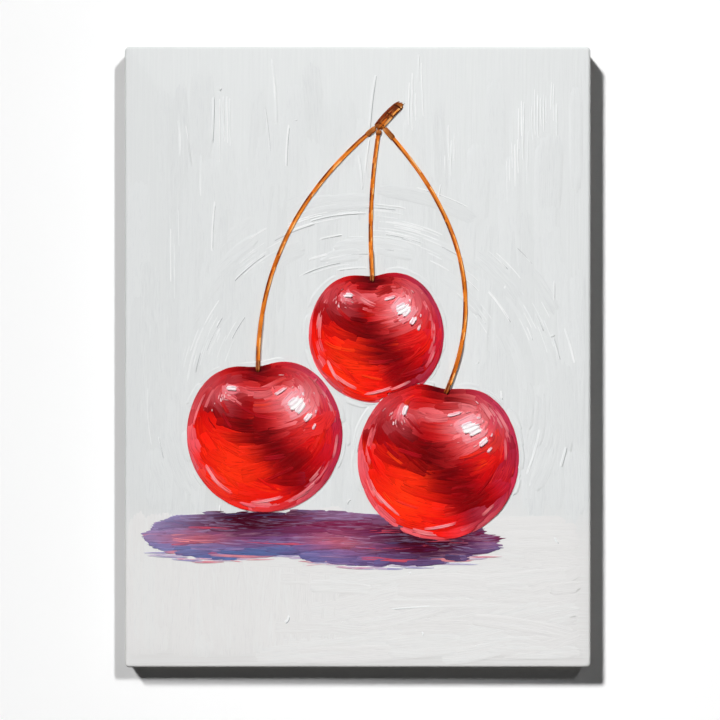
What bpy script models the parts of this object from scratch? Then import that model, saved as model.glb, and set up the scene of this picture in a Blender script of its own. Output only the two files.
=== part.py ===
# A hand-painted picture on stretched canvas, 300 x 400 mm, with the wedged pine stretcher behind it,
# the staples that hold the cloth and the sawtooth hanger that it hangs from.
# Metres, +Z up. The painted side faces -Y and the wall is the plane y = 0. The origin is where the
# wall's nail bears in the hanger's middle notch. Every piece is built in the panel's own coordinates,
# x and z from the panel's centre, and then placed. An inset is a distance inwards from the panel's edge.

import math
import random

import bmesh
import bpy
from mathutils import Matrix, Vector

# Driving dimensions
PANEL_WIDTH = 0.300
PANEL_HEIGHT = 0.400
CORNER_RADIUS = 0.0023
WALL_GAP = 0.0030
BAR_WIDTH = 0.038
BAR_DEPTH = 0.018
CLOTH = 0.0006
FIT_GAP = 0.0003
LIP_WIDTH = 0.016
NOTCH_INSET = 0.0275

# Planes across the depth, from the wall towards the viewer
BAR_BACK = -WALL_GAP
BAR_FRONT = BAR_BACK - BAR_DEPTH
CLOTH_BACK = BAR_BACK + FIT_GAP + CLOTH
CLOTH_FRONT = BAR_FRONT - FIT_GAP - CLOTH
GROUND_THICKNESS = 0.0007
GROUND_BACK = CLOTH_FRONT - FIT_GAP
GROUND_FRONT = GROUND_BACK - GROUND_THICKNESS
MOTIF_BACK = GROUND_FRONT - FIT_GAP

# Where the panel's centre lies in the world, and the hanger's notch seen from that centre
PANEL_PLACE = Vector((0, 0, NOTCH_INSET - PANEL_HEIGHT / 2))
NOTCH_Z = PANEL_HEIGHT / 2 - NOTCH_INSET

# Cloth folds, over the front of the bar and at its back
FRONT_FOLD = 0.0015
BACK_FOLD = 0.0009
LEAST_RADIUS = 0.0002
CORNER_STEPS = 4
FOLD_STEPS = 3

# Stretcher bar section: the outer bead holds the cloth off the sloping inner face
BAR_INSET = CLOTH + FIT_GAP
BEAD_EASE = 0.0010
BEAD_WIDTH = 0.0045
BEAD_FOOT = 0.0070
BEAD_HEIGHT = 0.0018
INNER_DROP = 0.0032
INNER_EASE = 0.0015
TIP_CUT = 0.0006

# Corner keys, the thin wedges that spread the stretcher, and their slots
KEY_THICKNESS = 0.0030
KEY_LENGTH = 0.026
KEY_SUNK = 0.010
KEY_OFFSET = 0.0012
KEY_HEAD = 0.0085
KEY_TAIL = 0.0050
KEY_CORNER = 0.0020
KEY_LEVELS = (-0.0100, -0.0139)
SLOT_PAST_TIP = 0.0010

# Staples along the turned-over cloth
STAPLE_CROWN = 0.0106
STAPLE_WIRE = 0.0013
STAPLE_HEIGHT = 0.0008
STAPLE_EASE = 0.0003
STAPLE_INSET = 0.0085
STAPLES_ACROSS = 5
STAPLES_UP = 7
STAPLE_MARGIN = 0.034
STAPLE_TURN = math.radians(9)
STAPLE_SEED = 31

# Sawtooth hanger, pinned at both ends and raised between them
HANGER_THICKNESS = 0.0009
HANGER_TOP = 0.0085
HANGER_RAISED_HALF = 0.0140
HANGER_TAB_START = 0.0156
HANGER_TAB_CENTRE = 0.0195
HANGER_TAB_RADIUS = 0.0045
TOOTH_PITCH = 0.0020
TOOTH_DEPTH = 0.0015
TEETH_EACH_SIDE = 5
PIN_HEAD_RADIUS = 0.0023
PIN_HEAD_HEIGHT = 0.0007
PIN_HEAD_EASE = 0.0004
PIN_RADIUS = 0.0007
PIN_LENGTH = 0.0100
PIN_SIDES = 16

# Painted ground, brushed up and down
GROUND_INSET = 0.0012
GROUND_COLUMNS = 50
GROUND_ROWS = 8
GROUND_RELIEF = 0.00014
GROUND_SEED = 7

# The painted cherries: centre (x, z) and radius
CHERRIES = {
    "left": ((-0.060, -0.050), 0.0500),
    "front": ((0.052, -0.066), 0.0520),
    "middle": ((0.012, 0.014), 0.0430),
}
CHERRY_SEGMENTS = 56
CHERRY_RINGS = 10
CHERRY_RIM = 0.0007
CHERRY_RISE = 0.0009
BRUSH_RIDGE = 0.00010
CAVITY_DEPTH = 0.13
CAVITY_SPREAD = 0.34
CAVITY_LEAN = {"left": 6, "front": -6, "middle": 4}
OVERLAP_CLEARANCE = 0.0006

# Highlight dabs, placed as a share of the cherry's radius from its centre
GLINT_PLACE = (0.36, 0.40)
GLINT_SIZE = (0.0036, 0.0078)
GLINT_TURN = math.radians(42)
GLINT_RIM = 0.0006
GLINT_RISE = 0.0006
GLINT_SEGMENTS = 20
GLINT_RINGS = 3

# Stems, from each cavity to the spur where they meet
STEM_TOP = {"left": (0.0085, 0.1465), "front": (0.0195, 0.1450), "middle": (0.0140, 0.1425)}
STEM_BEND = {"left": (-0.066, 0.085), "front": (0.096, 0.062), "middle": (0.006, 0.100)}
STEM_FOOT_LIFT = 0.0014
STEM_HALF_WIDTH = 0.0015
STEM_FOOT_WIDEN = 0.9
STEM_THICKNESS = 0.0010
STEM_STEPS = 20
SPUR = ((0.0120, 0.1475), (0.0185, 0.1560), (0.0300, 0.1650))
SPUR_HALF_WIDTHS = (0.0042, 0.0034, 0.0027)
SPUR_THICKNESS = 0.0016
STRIP_ARC = 6

# Cast shadow, from under the front cherry out to the panel's left side
SHADOW_STATIONS = (
    (0.1050, -0.1060, 0.0040),
    (0.0900, -0.1100, 0.0120),
    (0.0600, -0.1150, 0.0185),
    (0.0200, -0.1160, 0.0200),
    (-0.0200, -0.1150, 0.0190),
    (-0.0600, -0.1160, 0.0200),
    (-0.1000, -0.1190, 0.0190),
    (-0.1350, -0.1230, 0.0150),
    (-0.1465, -0.1250, 0.0120),
)
SHADOW_THICKNESS = 0.0007


def clear_scene():
    for obj in list(bpy.data.objects):
        bpy.data.objects.remove(obj)


def make_material(name, colour, roughness, metallic=0.0):
    material = bpy.data.materials.new(name)
    material.use_nodes = True
    shader = material.node_tree.nodes["Principled BSDF"]
    shader.inputs["Base Color"].default_value = (*colour, 1)
    shader.inputs["Roughness"].default_value = roughness
    shader.inputs["Metallic"].default_value = metallic
    return material


def place_mesh(name, bm):
    """The bmesh as an object, moved from the panel's coordinates to the world's."""
    bmesh.ops.recalc_face_normals(bm, faces=bm.faces)
    bmesh.ops.translate(bm, verts=bm.verts, vec=PANEL_PLACE)
    mesh = bpy.data.meshes.new(name)
    bm.to_mesh(mesh)
    bm.free()
    obj = bpy.data.objects.new(name, mesh)
    bpy.context.scene.collection.objects.link(obj)
    return obj


def add_piece(name, bm, material, sharp_angle=35):
    """A finished piece, shaded smooth except across edges sharper than the angle."""
    obj = place_mesh(name, bm)
    obj.data.shade_smooth()
    obj.data.set_sharp_from_angle(angle=math.radians(sharp_angle))
    obj.data.materials.append(material)
    return obj


def cut_with(obj, name, bm):
    """Takes a hidden cutter's volume away from a piece."""
    cutter = place_mesh(name, bm)
    cutter.hide_render = True
    cutter.display_type = "WIRE"
    modifier = obj.modifiers.new(f"cut {name}", "BOOLEAN")
    modifier.operation = "DIFFERENCE"
    modifier.solver = "EXACT"
    modifier.object = cutter


def bridge(bm, ring, other):
    """Quads between two closed rings of the same count."""
    count = len(ring)
    for i in range(count):
        j = (i + 1) % count
        bm.faces.new((ring[i], ring[j], other[j], other[i]))


def loft(bm, rings):
    """A closed solid through rings of (x, y, z) points, capped at both ends."""
    loops = [[bm.verts.new(point) for point in ring] for ring in rings]
    for ring, other in zip(loops, loops[1:]):
        bridge(bm, ring, other)
    bm.faces.new(loops[0])
    bm.faces.new(loops[-1])
    return bm


def prism(outline, back, front):
    """A flat plate: an (x, z) outline between the planes y = back and y = front."""
    return loft(bmesh.new(), [[(x, y, z) for x, z in outline] for y in (back, front)])


def panel_outline(inset):
    """(x, z) points round the panel's edge moved inwards, its corner arcs shrinking with it."""
    radius = max(CORNER_RADIUS - inset, LEAST_RADIUS)
    half_width = PANEL_WIDTH / 2 - inset - radius
    half_height = PANEL_HEIGHT / 2 - inset - radius
    points = []
    for quarter, (side_x, side_z) in enumerate(((1, 1), (-1, 1), (-1, -1), (1, -1))):
        for step in range(CORNER_STEPS + 1):
            angle = math.pi / 2 * (quarter + step / CORNER_STEPS)
            x = side_x * half_width + radius * math.cos(angle)
            z = side_z * half_height + radius * math.sin(angle)
            points.append((x, z))
    return points


def fold_arc(radius, centre_inset, centre_y, start, end):
    """(inset, y) points along one fold of the cloth, with angles from the outward direction."""
    points = []
    for step in range(FOLD_STEPS + 1):
        angle = math.radians(start + (end - start) * step / FOLD_STEPS)
        points.append((centre_inset - radius * math.cos(angle), centre_y + radius * math.sin(angle)))
    return points


def cloth_section():
    """(inset, y) points of the wrap, out along the painted side and back along the inner side."""
    front_centre = CLOTH_FRONT + FRONT_FOLD
    back_centre = CLOTH_BACK - BACK_FOLD
    outer = fold_arc(FRONT_FOLD, FRONT_FOLD, front_centre, -90, 0)
    outer += fold_arc(BACK_FOLD, BACK_FOLD, back_centre, 0, 90)
    outer.append((LIP_WIDTH, CLOTH_BACK))
    inner = [(LIP_WIDTH, CLOTH_BACK - CLOTH)]
    inner += fold_arc(BACK_FOLD - CLOTH, BACK_FOLD, back_centre, 90, 0)
    inner += fold_arc(FRONT_FOLD - CLOTH, FRONT_FOLD, front_centre, 0, -90)
    return outer + inner


def make_cloth(material):
    """The canvas: a shallow tray drawn over the bars, its edges turned over at the back."""
    rings = [[(x, y, z) for x, z in panel_outline(inset)] for inset, y in cloth_section()]
    return add_piece("canvas", loft(bmesh.new(), rings), material)


def bar_section():
    """(inset from the bar's outer side, y) points of the moulded stretcher bar."""
    return [
        (0, BAR_BACK),
        (0, BAR_FRONT + BEAD_EASE),
        (BEAD_EASE, BAR_FRONT),
        (BEAD_WIDTH, BAR_FRONT),
        (BEAD_FOOT, BAR_FRONT + BEAD_HEIGHT),
        (BAR_WIDTH - INNER_EASE, BAR_FRONT + INNER_DROP),
        (BAR_WIDTH, BAR_FRONT + INNER_DROP + INNER_EASE),
        (BAR_WIDTH, BAR_BACK - INNER_EASE / 2),
        (BAR_WIDTH - INNER_EASE / 2, BAR_BACK),
    ]


def bar_ring(outward, along, side, half_length):
    """The bar's section on its mitred end, with the point of the mitre cut off."""
    ring = []
    for inset, y in bar_section():
        reach = half_length - FIT_GAP / 2 * math.sqrt(2) - inset
        reach = min(reach, half_length - TIP_CUT * math.sqrt(2) + inset)
        point = outward * -inset + along * (side * reach)
        ring.append((point.x, y, point.z))
    return ring


def make_bar(name, outward, material):
    """A stretcher bar whose outer side faces the outward direction."""
    along = Vector((abs(outward.z), 0, abs(outward.x)))
    across_half = PANEL_WIDTH / 2 - BAR_INSET
    up_half = PANEL_HEIGHT / 2 - BAR_INSET
    half_length = across_half if outward.z else up_half
    distance = up_half if outward.z else across_half
    rings = [bar_ring(outward, along, side, half_length) for side in (-1, 1)]
    bm = loft(bmesh.new(), rings)
    bmesh.ops.translate(bm, verts=bm.verts, vec=outward * distance)
    return add_piece(name, bm, material, sharp_angle=20)


def key_outline(corner, along_x, grow=0.0):
    """(x, z) points of a key, or of its slot, at one inner corner of the stretcher."""
    sunk = KEY_SUNK + (SLOT_PAST_TIP if grow else 0)
    near = KEY_OFFSET - grow
    head, tail = KEY_OFFSET + KEY_HEAD + grow, KEY_OFFSET + KEY_TAIL + grow
    proud = KEY_LENGTH - KEY_SUNK
    # Distances towards the window along the key, then away from the bar that it lies beside
    points = [(-sunk, near), (proud, near), (proud, head - KEY_CORNER)]
    points += [(proud - KEY_CORNER, head), (-sunk, tail)]
    if grow:
        mouth_width = tail + (KEY_HEAD - KEY_TAIL) * (sunk + grow) / KEY_LENGTH
        points = [(-sunk, near), (grow, near), (grow, mouth_width), (-sunk, tail)]
    inner_x = PANEL_WIDTH / 2 - BAR_INSET - BAR_WIDTH
    inner_z = PANEL_HEIGHT / 2 - BAR_INSET - BAR_WIDTH
    outline = []
    for run, away in points:
        dx, dz = (run, away) if along_x else (away, run)
        outline.append((corner[0] * (inner_x - dx), corner[1] * (inner_z - dz)))
    return outline


def add_keys(bars, material):
    """Two keys at each inner corner, one along each bar, in slots at two levels."""
    number = 0
    for corner in ((1, 1), (-1, 1), (-1, -1), (1, -1)):
        for along_x, level in zip((True, False), KEY_LEVELS):
            number += 1
            half = KEY_THICKNESS / 2
            key = prism(key_outline(corner, along_x), level + half, level - half)
            add_piece(f"key_{number}", key, material)
            slot_half = half + FIT_GAP
            slot = prism(key_outline(corner, along_x, FIT_GAP), level + slot_half, level - slot_half)
            bar = bars[(corner[0], 0) if along_x else (0, corner[1])]
            cut_with(bar, f"slot_{number}", slot)


def staple_bmesh(centre, turn):
    """A wire crown lying on the cloth, its ends rounded over towards the wood."""
    half_x, half_z = STAPLE_CROWN / 2, STAPLE_WIRE / 2
    base = CLOTH_BACK + FIT_GAP
    rings = []
    top = base + STAPLE_HEIGHT
    for ease, y in ((0, base), (0, top - STAPLE_EASE), (STAPLE_EASE, top)):
        x, z = half_x - ease, half_z - ease
        ring = []
        for side_x, side_z in ((1, 1), (-1, 1), (-1, -1), (1, -1)):
            ring.append((side_x * x, y, side_z * z))
        rings.append(ring)
    bm = loft(bmesh.new(), rings)
    bmesh.ops.rotate(bm, verts=bm.verts, cent=(0, 0, 0), matrix=Matrix.Rotation(turn, 3, "Y"))
    bmesh.ops.translate(bm, verts=bm.verts, vec=(centre[0], 0, centre[1]))
    return bm


def spaced(count, length):
    """Positions of evenly spread things along a side, centred on it."""
    span = length - 2 * STAPLE_MARGIN
    return [-span / 2 + span * i / (count - 1) for i in range(count)]


def add_staples(material):
    rng = random.Random(STAPLE_SEED)
    across_z = PANEL_HEIGHT / 2 - STAPLE_INSET
    up_x = PANEL_WIDTH / 2 - STAPLE_INSET
    places = []
    for side in (1, -1):
        places += [((x, side * across_z), 0) for x in spaced(STAPLES_ACROSS, PANEL_WIDTH)]
        places += [((side * up_x, z), math.pi / 2) for z in spaced(STAPLES_UP, PANEL_HEIGHT)]
    for number, (centre, turn) in enumerate(places, start=1):
        turn += rng.uniform(-STAPLE_TURN, STAPLE_TURN)
        add_piece(f"staple_{number}", staple_bmesh(centre, turn), material)


def hanger_stations():
    """(x, lowest z, highest z, back y) along the hanger, from its left end to its right."""
    raised_back, tab_back = 0.0, BAR_BACK + FIT_GAP + HANGER_THICKNESS
    tab_middle = HANGER_TOP / 2
    right = [(0.0, 0.0, HANGER_TOP, raised_back)]
    for tooth in range(TEETH_EACH_SIDE):
        right.append(((tooth + 0.5) * TOOTH_PITCH, -TOOTH_DEPTH, HANGER_TOP, raised_back))
        right.append(((tooth + 1) * TOOTH_PITCH, 0.0, HANGER_TOP, raised_back))
    right.append((HANGER_RAISED_HALF - 0.001, 0.0, HANGER_TOP, raised_back))
    right.append((HANGER_RAISED_HALF, 0.0, HANGER_TOP, raised_back))
    right.append((HANGER_TAB_START, 0.0, HANGER_TOP, tab_back))
    for step in range(7):
        angle = math.radians(14 * step)
        half = max(HANGER_TOP / 2 * math.cos(angle), 0.0006)
        x = HANGER_TAB_CENTRE + HANGER_TAB_RADIUS * math.sin(angle)
        right.append((x, tab_middle - half, tab_middle + half, tab_back))
    left = [(-x, low, high, back) for x, low, high, back in reversed(right[1:])]
    return left + right


def add_hanger(material):
    rings = []
    for x, low, high, back in hanger_stations():
        front = back - HANGER_THICKNESS
        ring = [(x, back, low), (x, back, high), (x, front, high), (x, front, low)]
        rings.append([(px, py, pz + NOTCH_Z) for px, py, pz in ring])
    return add_piece("hanger", loft(bmesh.new(), rings), material)


def turned(x, z, profile):
    """A solid of revolution about a line along y, through (radius, y) points."""
    rings = []
    for radius, y in profile:
        ring = []
        for i in range(PIN_SIDES):
            angle = math.tau * i / PIN_SIDES
            ring.append((x + radius * math.cos(angle), y, z + radius * math.sin(angle)))
        rings.append(ring)
    return loft(bmesh.new(), rings)


def add_pins(hanger, top_bar, material):
    """The two nails that hold the hanger, with their holes in its ends and in the bar."""
    tab_back = BAR_BACK + FIT_GAP + HANGER_THICKNESS
    head_front = tab_back + FIT_GAP
    point = head_front - PIN_LENGTH
    z = NOTCH_Z + HANGER_TOP / 2
    for name, side in (("pin_left", -1), ("pin_right", 1)):
        x = side * HANGER_TAB_CENTRE
        profile = [
            (0.0002, point),
            (PIN_RADIUS, point + 0.0015),
            (PIN_RADIUS, head_front),
            (PIN_HEAD_RADIUS, head_front),
            (PIN_HEAD_RADIUS, head_front + PIN_HEAD_HEIGHT - PIN_HEAD_EASE),
            (PIN_HEAD_RADIUS - PIN_HEAD_EASE, head_front + PIN_HEAD_HEIGHT),
        ]
        add_piece(name, turned(x, z, profile), material)
        hole = PIN_RADIUS + FIT_GAP
        tab_hole = [(hole, tab_back + 0.001), (hole, BAR_BACK + 0.0001)]
        bar_hole = [(hole, BAR_BACK + 0.001), (hole, point - FIT_GAP)]
        cut_with(hanger, f"{name}_tab_hole", turned(x, z, tab_hole))
        cut_with(top_bar, f"{name}_bar_hole", turned(x, z, bar_hole))


def ground_heights():
    """How far each column of the brushed ground stands below the highest, row by row."""
    rng = random.Random(GROUND_SEED)
    rows = []
    level = [rng.random() for _ in range(GROUND_COLUMNS + 1)]
    for _ in range(GROUND_ROWS + 1):
        level = [min(max(value + rng.uniform(-0.35, 0.35), 0), 1) for value in level]
        rows.append([value * GROUND_RELIEF for value in level])
    return rows


def add_ground(material):
    """The pale ground, a thin film brushed over the whole front."""
    half_width = PANEL_WIDTH / 2 - GROUND_INSET
    half_height = PANEL_HEIGHT / 2 - GROUND_INSET
    bm = bmesh.new()
    grid = []
    for row, heights in enumerate(ground_heights()):
        z = half_height * (2 * row / GROUND_ROWS - 1)
        verts = []
        for column, drop in enumerate(heights):
            x = half_width * (2 * column / GROUND_COLUMNS - 1)
            verts.append(bm.verts.new((x, GROUND_FRONT + drop, z)))
        grid.append(verts)
    for row, above in zip(grid, grid[1:]):
        for i in range(GROUND_COLUMNS):
            bm.faces.new((row[i], row[i + 1], above[i + 1], above[i]))
    rim = grid[0] + [row[-1] for row in grid[1:]]
    rim += grid[-1][-2::-1] + [row[0] for row in grid[-2:0:-1]]
    back = [bm.verts.new((vert.co.x, GROUND_BACK, vert.co.z)) for vert in rim]
    bridge(bm, rim, back)
    bm.faces.new(back)
    return add_piece("paint_ground", bm, material, sharp_angle=50)


def cherry_radius(name, angle):
    """The cherry's outline, dipping into the cavity where its stem grows."""
    radius = CHERRIES[name][1]
    away = math.remainder(angle - math.radians(90 + CAVITY_LEAN[name]), math.tau)
    dip = CAVITY_DEPTH * math.exp(-((away / CAVITY_SPREAD) ** 2))
    shoulder = 0.02 * math.exp(-(((abs(away) - 0.75) / 0.35) ** 2))
    return radius * (1 - dip + shoulder)


def cherry_relief(share):
    """Paint thickness at a share of the way out to the rim, with a ridge for each brush pass."""
    dome = CHERRY_RIM + CHERRY_RISE * math.sqrt(max(1 - share ** 2.4, 0))
    ridge = BRUSH_RIDGE if round(share * CHERRY_RINGS) % 2 else 0
    return dome + ridge


def cherry_outline(name, grow=0.0):
    (x, z), _ = CHERRIES[name]
    points = []
    for i in range(CHERRY_SEGMENTS):
        angle = math.tau * i / CHERRY_SEGMENTS
        radius = cherry_radius(name, angle) + grow
        points.append((x + radius * math.cos(angle), z + radius * math.sin(angle)))
    return points


def add_cherry(name, material):
    """A thick, low dome of paint laid on in rings."""
    (x, z), _ = CHERRIES[name]
    outline = cherry_outline(name)
    bm = bmesh.new()
    rings = []
    for share in (1.0, *(ring / CHERRY_RINGS for ring in range(CHERRY_RINGS, 0, -1))):
        back = not rings
        y = MOTIF_BACK if back else MOTIF_BACK - cherry_relief(share)
        ring = [bm.verts.new((x + (px - x) * share, y, z + (pz - z) * share)) for px, pz in outline]
        if rings:
            bridge(bm, rings[-1], ring)
        else:
            bm.faces.new(ring)
        rings.append(ring)
    centre = bm.verts.new((x, MOTIF_BACK - cherry_relief(0), z))
    last = rings[-1]
    for i, vert in enumerate(last):
        bm.faces.new((vert, last[(i + 1) % len(last)], centre))
    return add_piece(f"paint_cherry_{name}", bm, material, sharp_angle=50)


def relief_at(name, x, z):
    """Paint thickness of a cherry at a point, read between its modelled rings."""
    (centre_x, centre_z), _ = CHERRIES[name]
    angle = math.atan2(z - centre_z, x - centre_x)
    share = min(math.hypot(x - centre_x, z - centre_z) / cherry_radius(name, angle), 1)
    ring = math.floor(share * CHERRY_RINGS)
    fraction = share * CHERRY_RINGS - ring
    inner, outer = (cherry_relief(min(step / CHERRY_RINGS, 1)) for step in (ring, ring + 1))
    return inner + (outer - inner) * fraction


def add_glint(name, material):
    """A thick highlight dab that rides on its cherry's dome."""
    (cherry_x, cherry_z), radius = CHERRIES[name]
    centre_x = cherry_x + GLINT_PLACE[0] * radius
    centre_z = cherry_z + GLINT_PLACE[1] * radius
    scale = radius / CHERRIES["left"][1]
    rings = []
    layers = [(step / GLINT_RINGS, False) for step in range(1, GLINT_RINGS + 1)]
    layers += [(share, True) for share, _ in reversed(layers)]
    for share, on_top in layers:
        ring = []
        for i in range(GLINT_SEGMENTS):
            angle = math.tau * i / GLINT_SEGMENTS
            run = GLINT_SIZE[0] * scale * share * math.cos(angle)
            rise = GLINT_SIZE[1] * scale * share * math.sin(angle)
            x = centre_x + run * math.cos(GLINT_TURN) - rise * math.sin(GLINT_TURN)
            z = centre_z + run * math.sin(GLINT_TURN) + rise * math.cos(GLINT_TURN)
            lift = relief_at(name, x, z) + FIT_GAP + BRUSH_RIDGE
            if on_top:
                lift += GLINT_RIM + GLINT_RISE * math.sqrt(1 - share * share)
            ring.append((x, MOTIF_BACK - lift, z))
        rings.append(ring)
    return add_piece(f"paint_glint_{name}", loft(bmesh.new(), rings), material, sharp_angle=50)


def bend_point(start, bend, end, t):
    """A point and a unit direction on a quadratic curve in the panel's plane."""
    start, bend, end = (Vector(point) for point in (start, bend, end))
    point = start * (1 - t) ** 2 + bend * (2 * t * (1 - t)) + end * t ** 2
    direction = ((bend - start) * (1 - t) + (end - bend) * t).normalized()
    return point, direction


def strip(points, thickness):
    """A rounded strip of paint through (point, direction, half width) stations."""
    rings = []
    for point, direction, half_width in points:
        side = Vector((-direction.y, direction.x))
        ring = []
        for step in range(STRIP_ARC + 1):
            across = math.cos(math.pi * step / STRIP_ARC)
            rise = math.sin(math.pi * step / STRIP_ARC)
            place = point + side * (half_width * across)
            ring.append((place.x, MOTIF_BACK - thickness * (0.4 + 0.6 * rise), place.y))
        for side_share in (-1, 1):
            place = point + side * (half_width * side_share)
            ring.append((place.x, MOTIF_BACK, place.y))
        rings.append(ring)
    return loft(bmesh.new(), rings)


def stem_foot(name):
    """Where a stem starts, just above the bottom of its cherry's cavity."""
    (x, z), _ = CHERRIES[name]
    angle = math.radians(90 + CAVITY_LEAN[name])
    reach = cherry_radius(name, angle) + STEM_FOOT_LIFT
    return x + reach * math.cos(angle), z + reach * math.sin(angle)


def add_stem(name, material):
    stations = []
    for step in range(STEM_STEPS + 1):
        t = step / STEM_STEPS
        point, direction = bend_point(stem_foot(name), STEM_BEND[name], STEM_TOP[name], t)
        widen = 1 + STEM_FOOT_WIDEN * (math.exp(-t * 14) + 0.6 * math.exp(-(1 - t) * 12))
        stations.append((point, direction, STEM_HALF_WIDTH * widen))
    return add_piece(f"paint_stem_{name}", strip(stations, STEM_THICKNESS), material, sharp_angle=50)


def add_spur(material):
    """The short woody spur that the stems hang from."""
    low_width, middle_width, high_width = SPUR_HALF_WIDTHS
    stations = []
    for step in range(7):
        t = step / 6
        point, direction = bend_point(*SPUR, t)
        half_width = low_width * (1 - t) ** 2 + middle_width * 2 * t * (1 - t) + high_width * t * t
        stations.append((point, direction, half_width))
    return add_piece("paint_spur", strip(stations, SPUR_THICKNESS), material, sharp_angle=50)


def add_shadow(material):
    """The cast shadow, cut clear of the cherries that stand in it."""
    lower = [(x, z - half) for x, z, half in SHADOW_STATIONS]
    upper = [(x, z + half) for x, z, half in reversed(SHADOW_STATIONS)]
    slab = prism(lower + upper, MOTIF_BACK, MOTIF_BACK - SHADOW_THICKNESS)
    shadow = add_piece("paint_shadow", slab, material)
    for name in ("left", "front"):
        outline = cherry_outline(name, OVERLAP_CLEARANCE)
        cut_with(shadow, f"shadow_cut_{name}", prism(outline, MOTIF_BACK + 0.001, MOTIF_BACK - 0.003))


def build():
    clear_scene()
    pine = make_material("pine", (0.78, 0.58, 0.36), 0.6)
    beech = make_material("beech", (0.70, 0.50, 0.32), 0.55)
    cotton = make_material("primed cotton", (0.80, 0.79, 0.76), 0.9)
    steel = make_material("bright steel", (0.62, 0.62, 0.64), 0.35, 1.0)
    brassed = make_material("zinc plated steel", (0.70, 0.69, 0.66), 0.3, 1.0)
    ground_paint = make_material("pale grey paint", (0.76, 0.77, 0.77), 0.5)
    shadow_paint = make_material("violet paint", (0.13, 0.09, 0.20), 0.45)
    red_paint = make_material("red paint", (0.55, 0.01, 0.015), 0.35)
    stem_paint = make_material("orange brown paint", (0.45, 0.16, 0.04), 0.45)
    light_paint = make_material("rose white paint", (0.85, 0.72, 0.75), 0.35)

    make_cloth(cotton)
    sides = {"top": (0, 1), "bottom": (0, -1), "left": (-1, 0), "right": (1, 0)}
    bars = {}
    for name, (x, z) in sides.items():
        bars[(x, z)] = make_bar(f"bar_{name}", Vector((x, 0, z)), pine)
    add_keys(bars, beech)
    add_staples(steel)
    hanger = add_hanger(brassed)
    add_pins(hanger, bars[(0, 1)], brassed)
    add_ground(ground_paint)
    add_shadow(shadow_paint)
    for name in CHERRIES:
        cherry = add_cherry(name, red_paint)
        if name == "middle":
            outline = cherry_outline("front", OVERLAP_CLEARANCE)
            cut_with(cherry, "overlap_cut", prism(outline, MOTIF_BACK + 0.001, MOTIF_BACK - 0.004))
        add_glint(name, light_paint)
        add_stem(name, stem_paint)
    add_spur(stem_paint)


build()
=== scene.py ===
import math
import random

import bmesh
import bpy
from mathutils import Matrix, Vector


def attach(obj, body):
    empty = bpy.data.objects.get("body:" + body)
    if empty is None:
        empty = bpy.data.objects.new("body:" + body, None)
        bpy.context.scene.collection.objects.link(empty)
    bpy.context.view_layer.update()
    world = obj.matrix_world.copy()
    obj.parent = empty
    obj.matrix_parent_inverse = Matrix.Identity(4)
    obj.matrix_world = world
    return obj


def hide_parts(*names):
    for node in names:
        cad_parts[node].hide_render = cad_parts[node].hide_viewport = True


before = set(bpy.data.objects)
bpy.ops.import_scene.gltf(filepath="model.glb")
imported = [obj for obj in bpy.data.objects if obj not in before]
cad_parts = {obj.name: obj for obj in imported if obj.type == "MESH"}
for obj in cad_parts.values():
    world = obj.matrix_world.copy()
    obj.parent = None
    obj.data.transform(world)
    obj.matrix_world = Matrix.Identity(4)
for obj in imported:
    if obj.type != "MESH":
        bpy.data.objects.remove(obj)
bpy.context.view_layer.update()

# sizes shared with the solids, in metres; the painted side faces -Y, and x and z run from the panel's centre
panel = {
    "width": 0.300, "height": 0.400, "corner": 0.0023, "centreZ": -0.1725,
    "clothFront": -0.0219, "clothBack": -0.0021, "cloth": 0.0006,
    "frontFold": 0.0015, "backFold": 0.0009, "side": 0.0198, "lip": 0.016,
}
# ratios that spread a count of strokes evenly, without rows
golden, plastic, goldenTurn = 0.618, 0.7549, 2.39996


def hexColour(text):
    # sRGB hex to the linear colour that Blender mixes
    values = [int(text[i:i + 2], 16) / 255 for i in (1, 3, 5)]
    return tuple(v / 12.92 if v <= 0.04045 else ((v + 0.055) / 1.055) ** 2.4 for v in values)


def pick(rng, shades):
    return hexColour(rng.choice(shades))


def blendColour(a, b, share):
    return tuple(p + (q - p) * share for p, q in zip(a, b))


def smoothStep(low, high, value):
    t = min(max((value - low) / (high - low), 0), 1)
    return t * t * (3 - 2 * t)


def shares(count):
    return [i / count for i in range(count + 1)]


def arch(path):
    # rises from 0 to 1 and falls again along a path
    return [math.sin(math.pi * t) for t in shares(len(path) - 1)]


def spread(number, ratio, low, high):
    return low + (high - low) * (number * ratio % 1)


def polar(centre, reach, angle):
    return centre[0] + reach * math.cos(angle), centre[1] + reach * math.sin(angle)


def drawFrom(rng, look):
    # draws a number from one of a look's ranges
    return lambda key: rng.uniform(*look[key])


class Wire:
    # a node's output that can be used in sums
    def __init__(self, maker, socket):
        self.maker = maker
        self.socket = socket

    def __add__(self, other):
        return self.maker.math("ADD", self, other)

    def __sub__(self, other):
        return self.maker.math("SUBTRACT", self, other)

    def __rsub__(self, other):
        return self.maker.math("SUBTRACT", other, self)

    def __mul__(self, other):
        return self.maker.math("MULTIPLY", self, other)

    def __truediv__(self, other):
        return self.maker.math("DIVIDE", self, other)

    def __pow__(self, other):
        return self.maker.math("POWER", self, other)

    def __neg__(self):
        return self * -1

    __radd__ = __add__
    __rmul__ = __mul__


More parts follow.
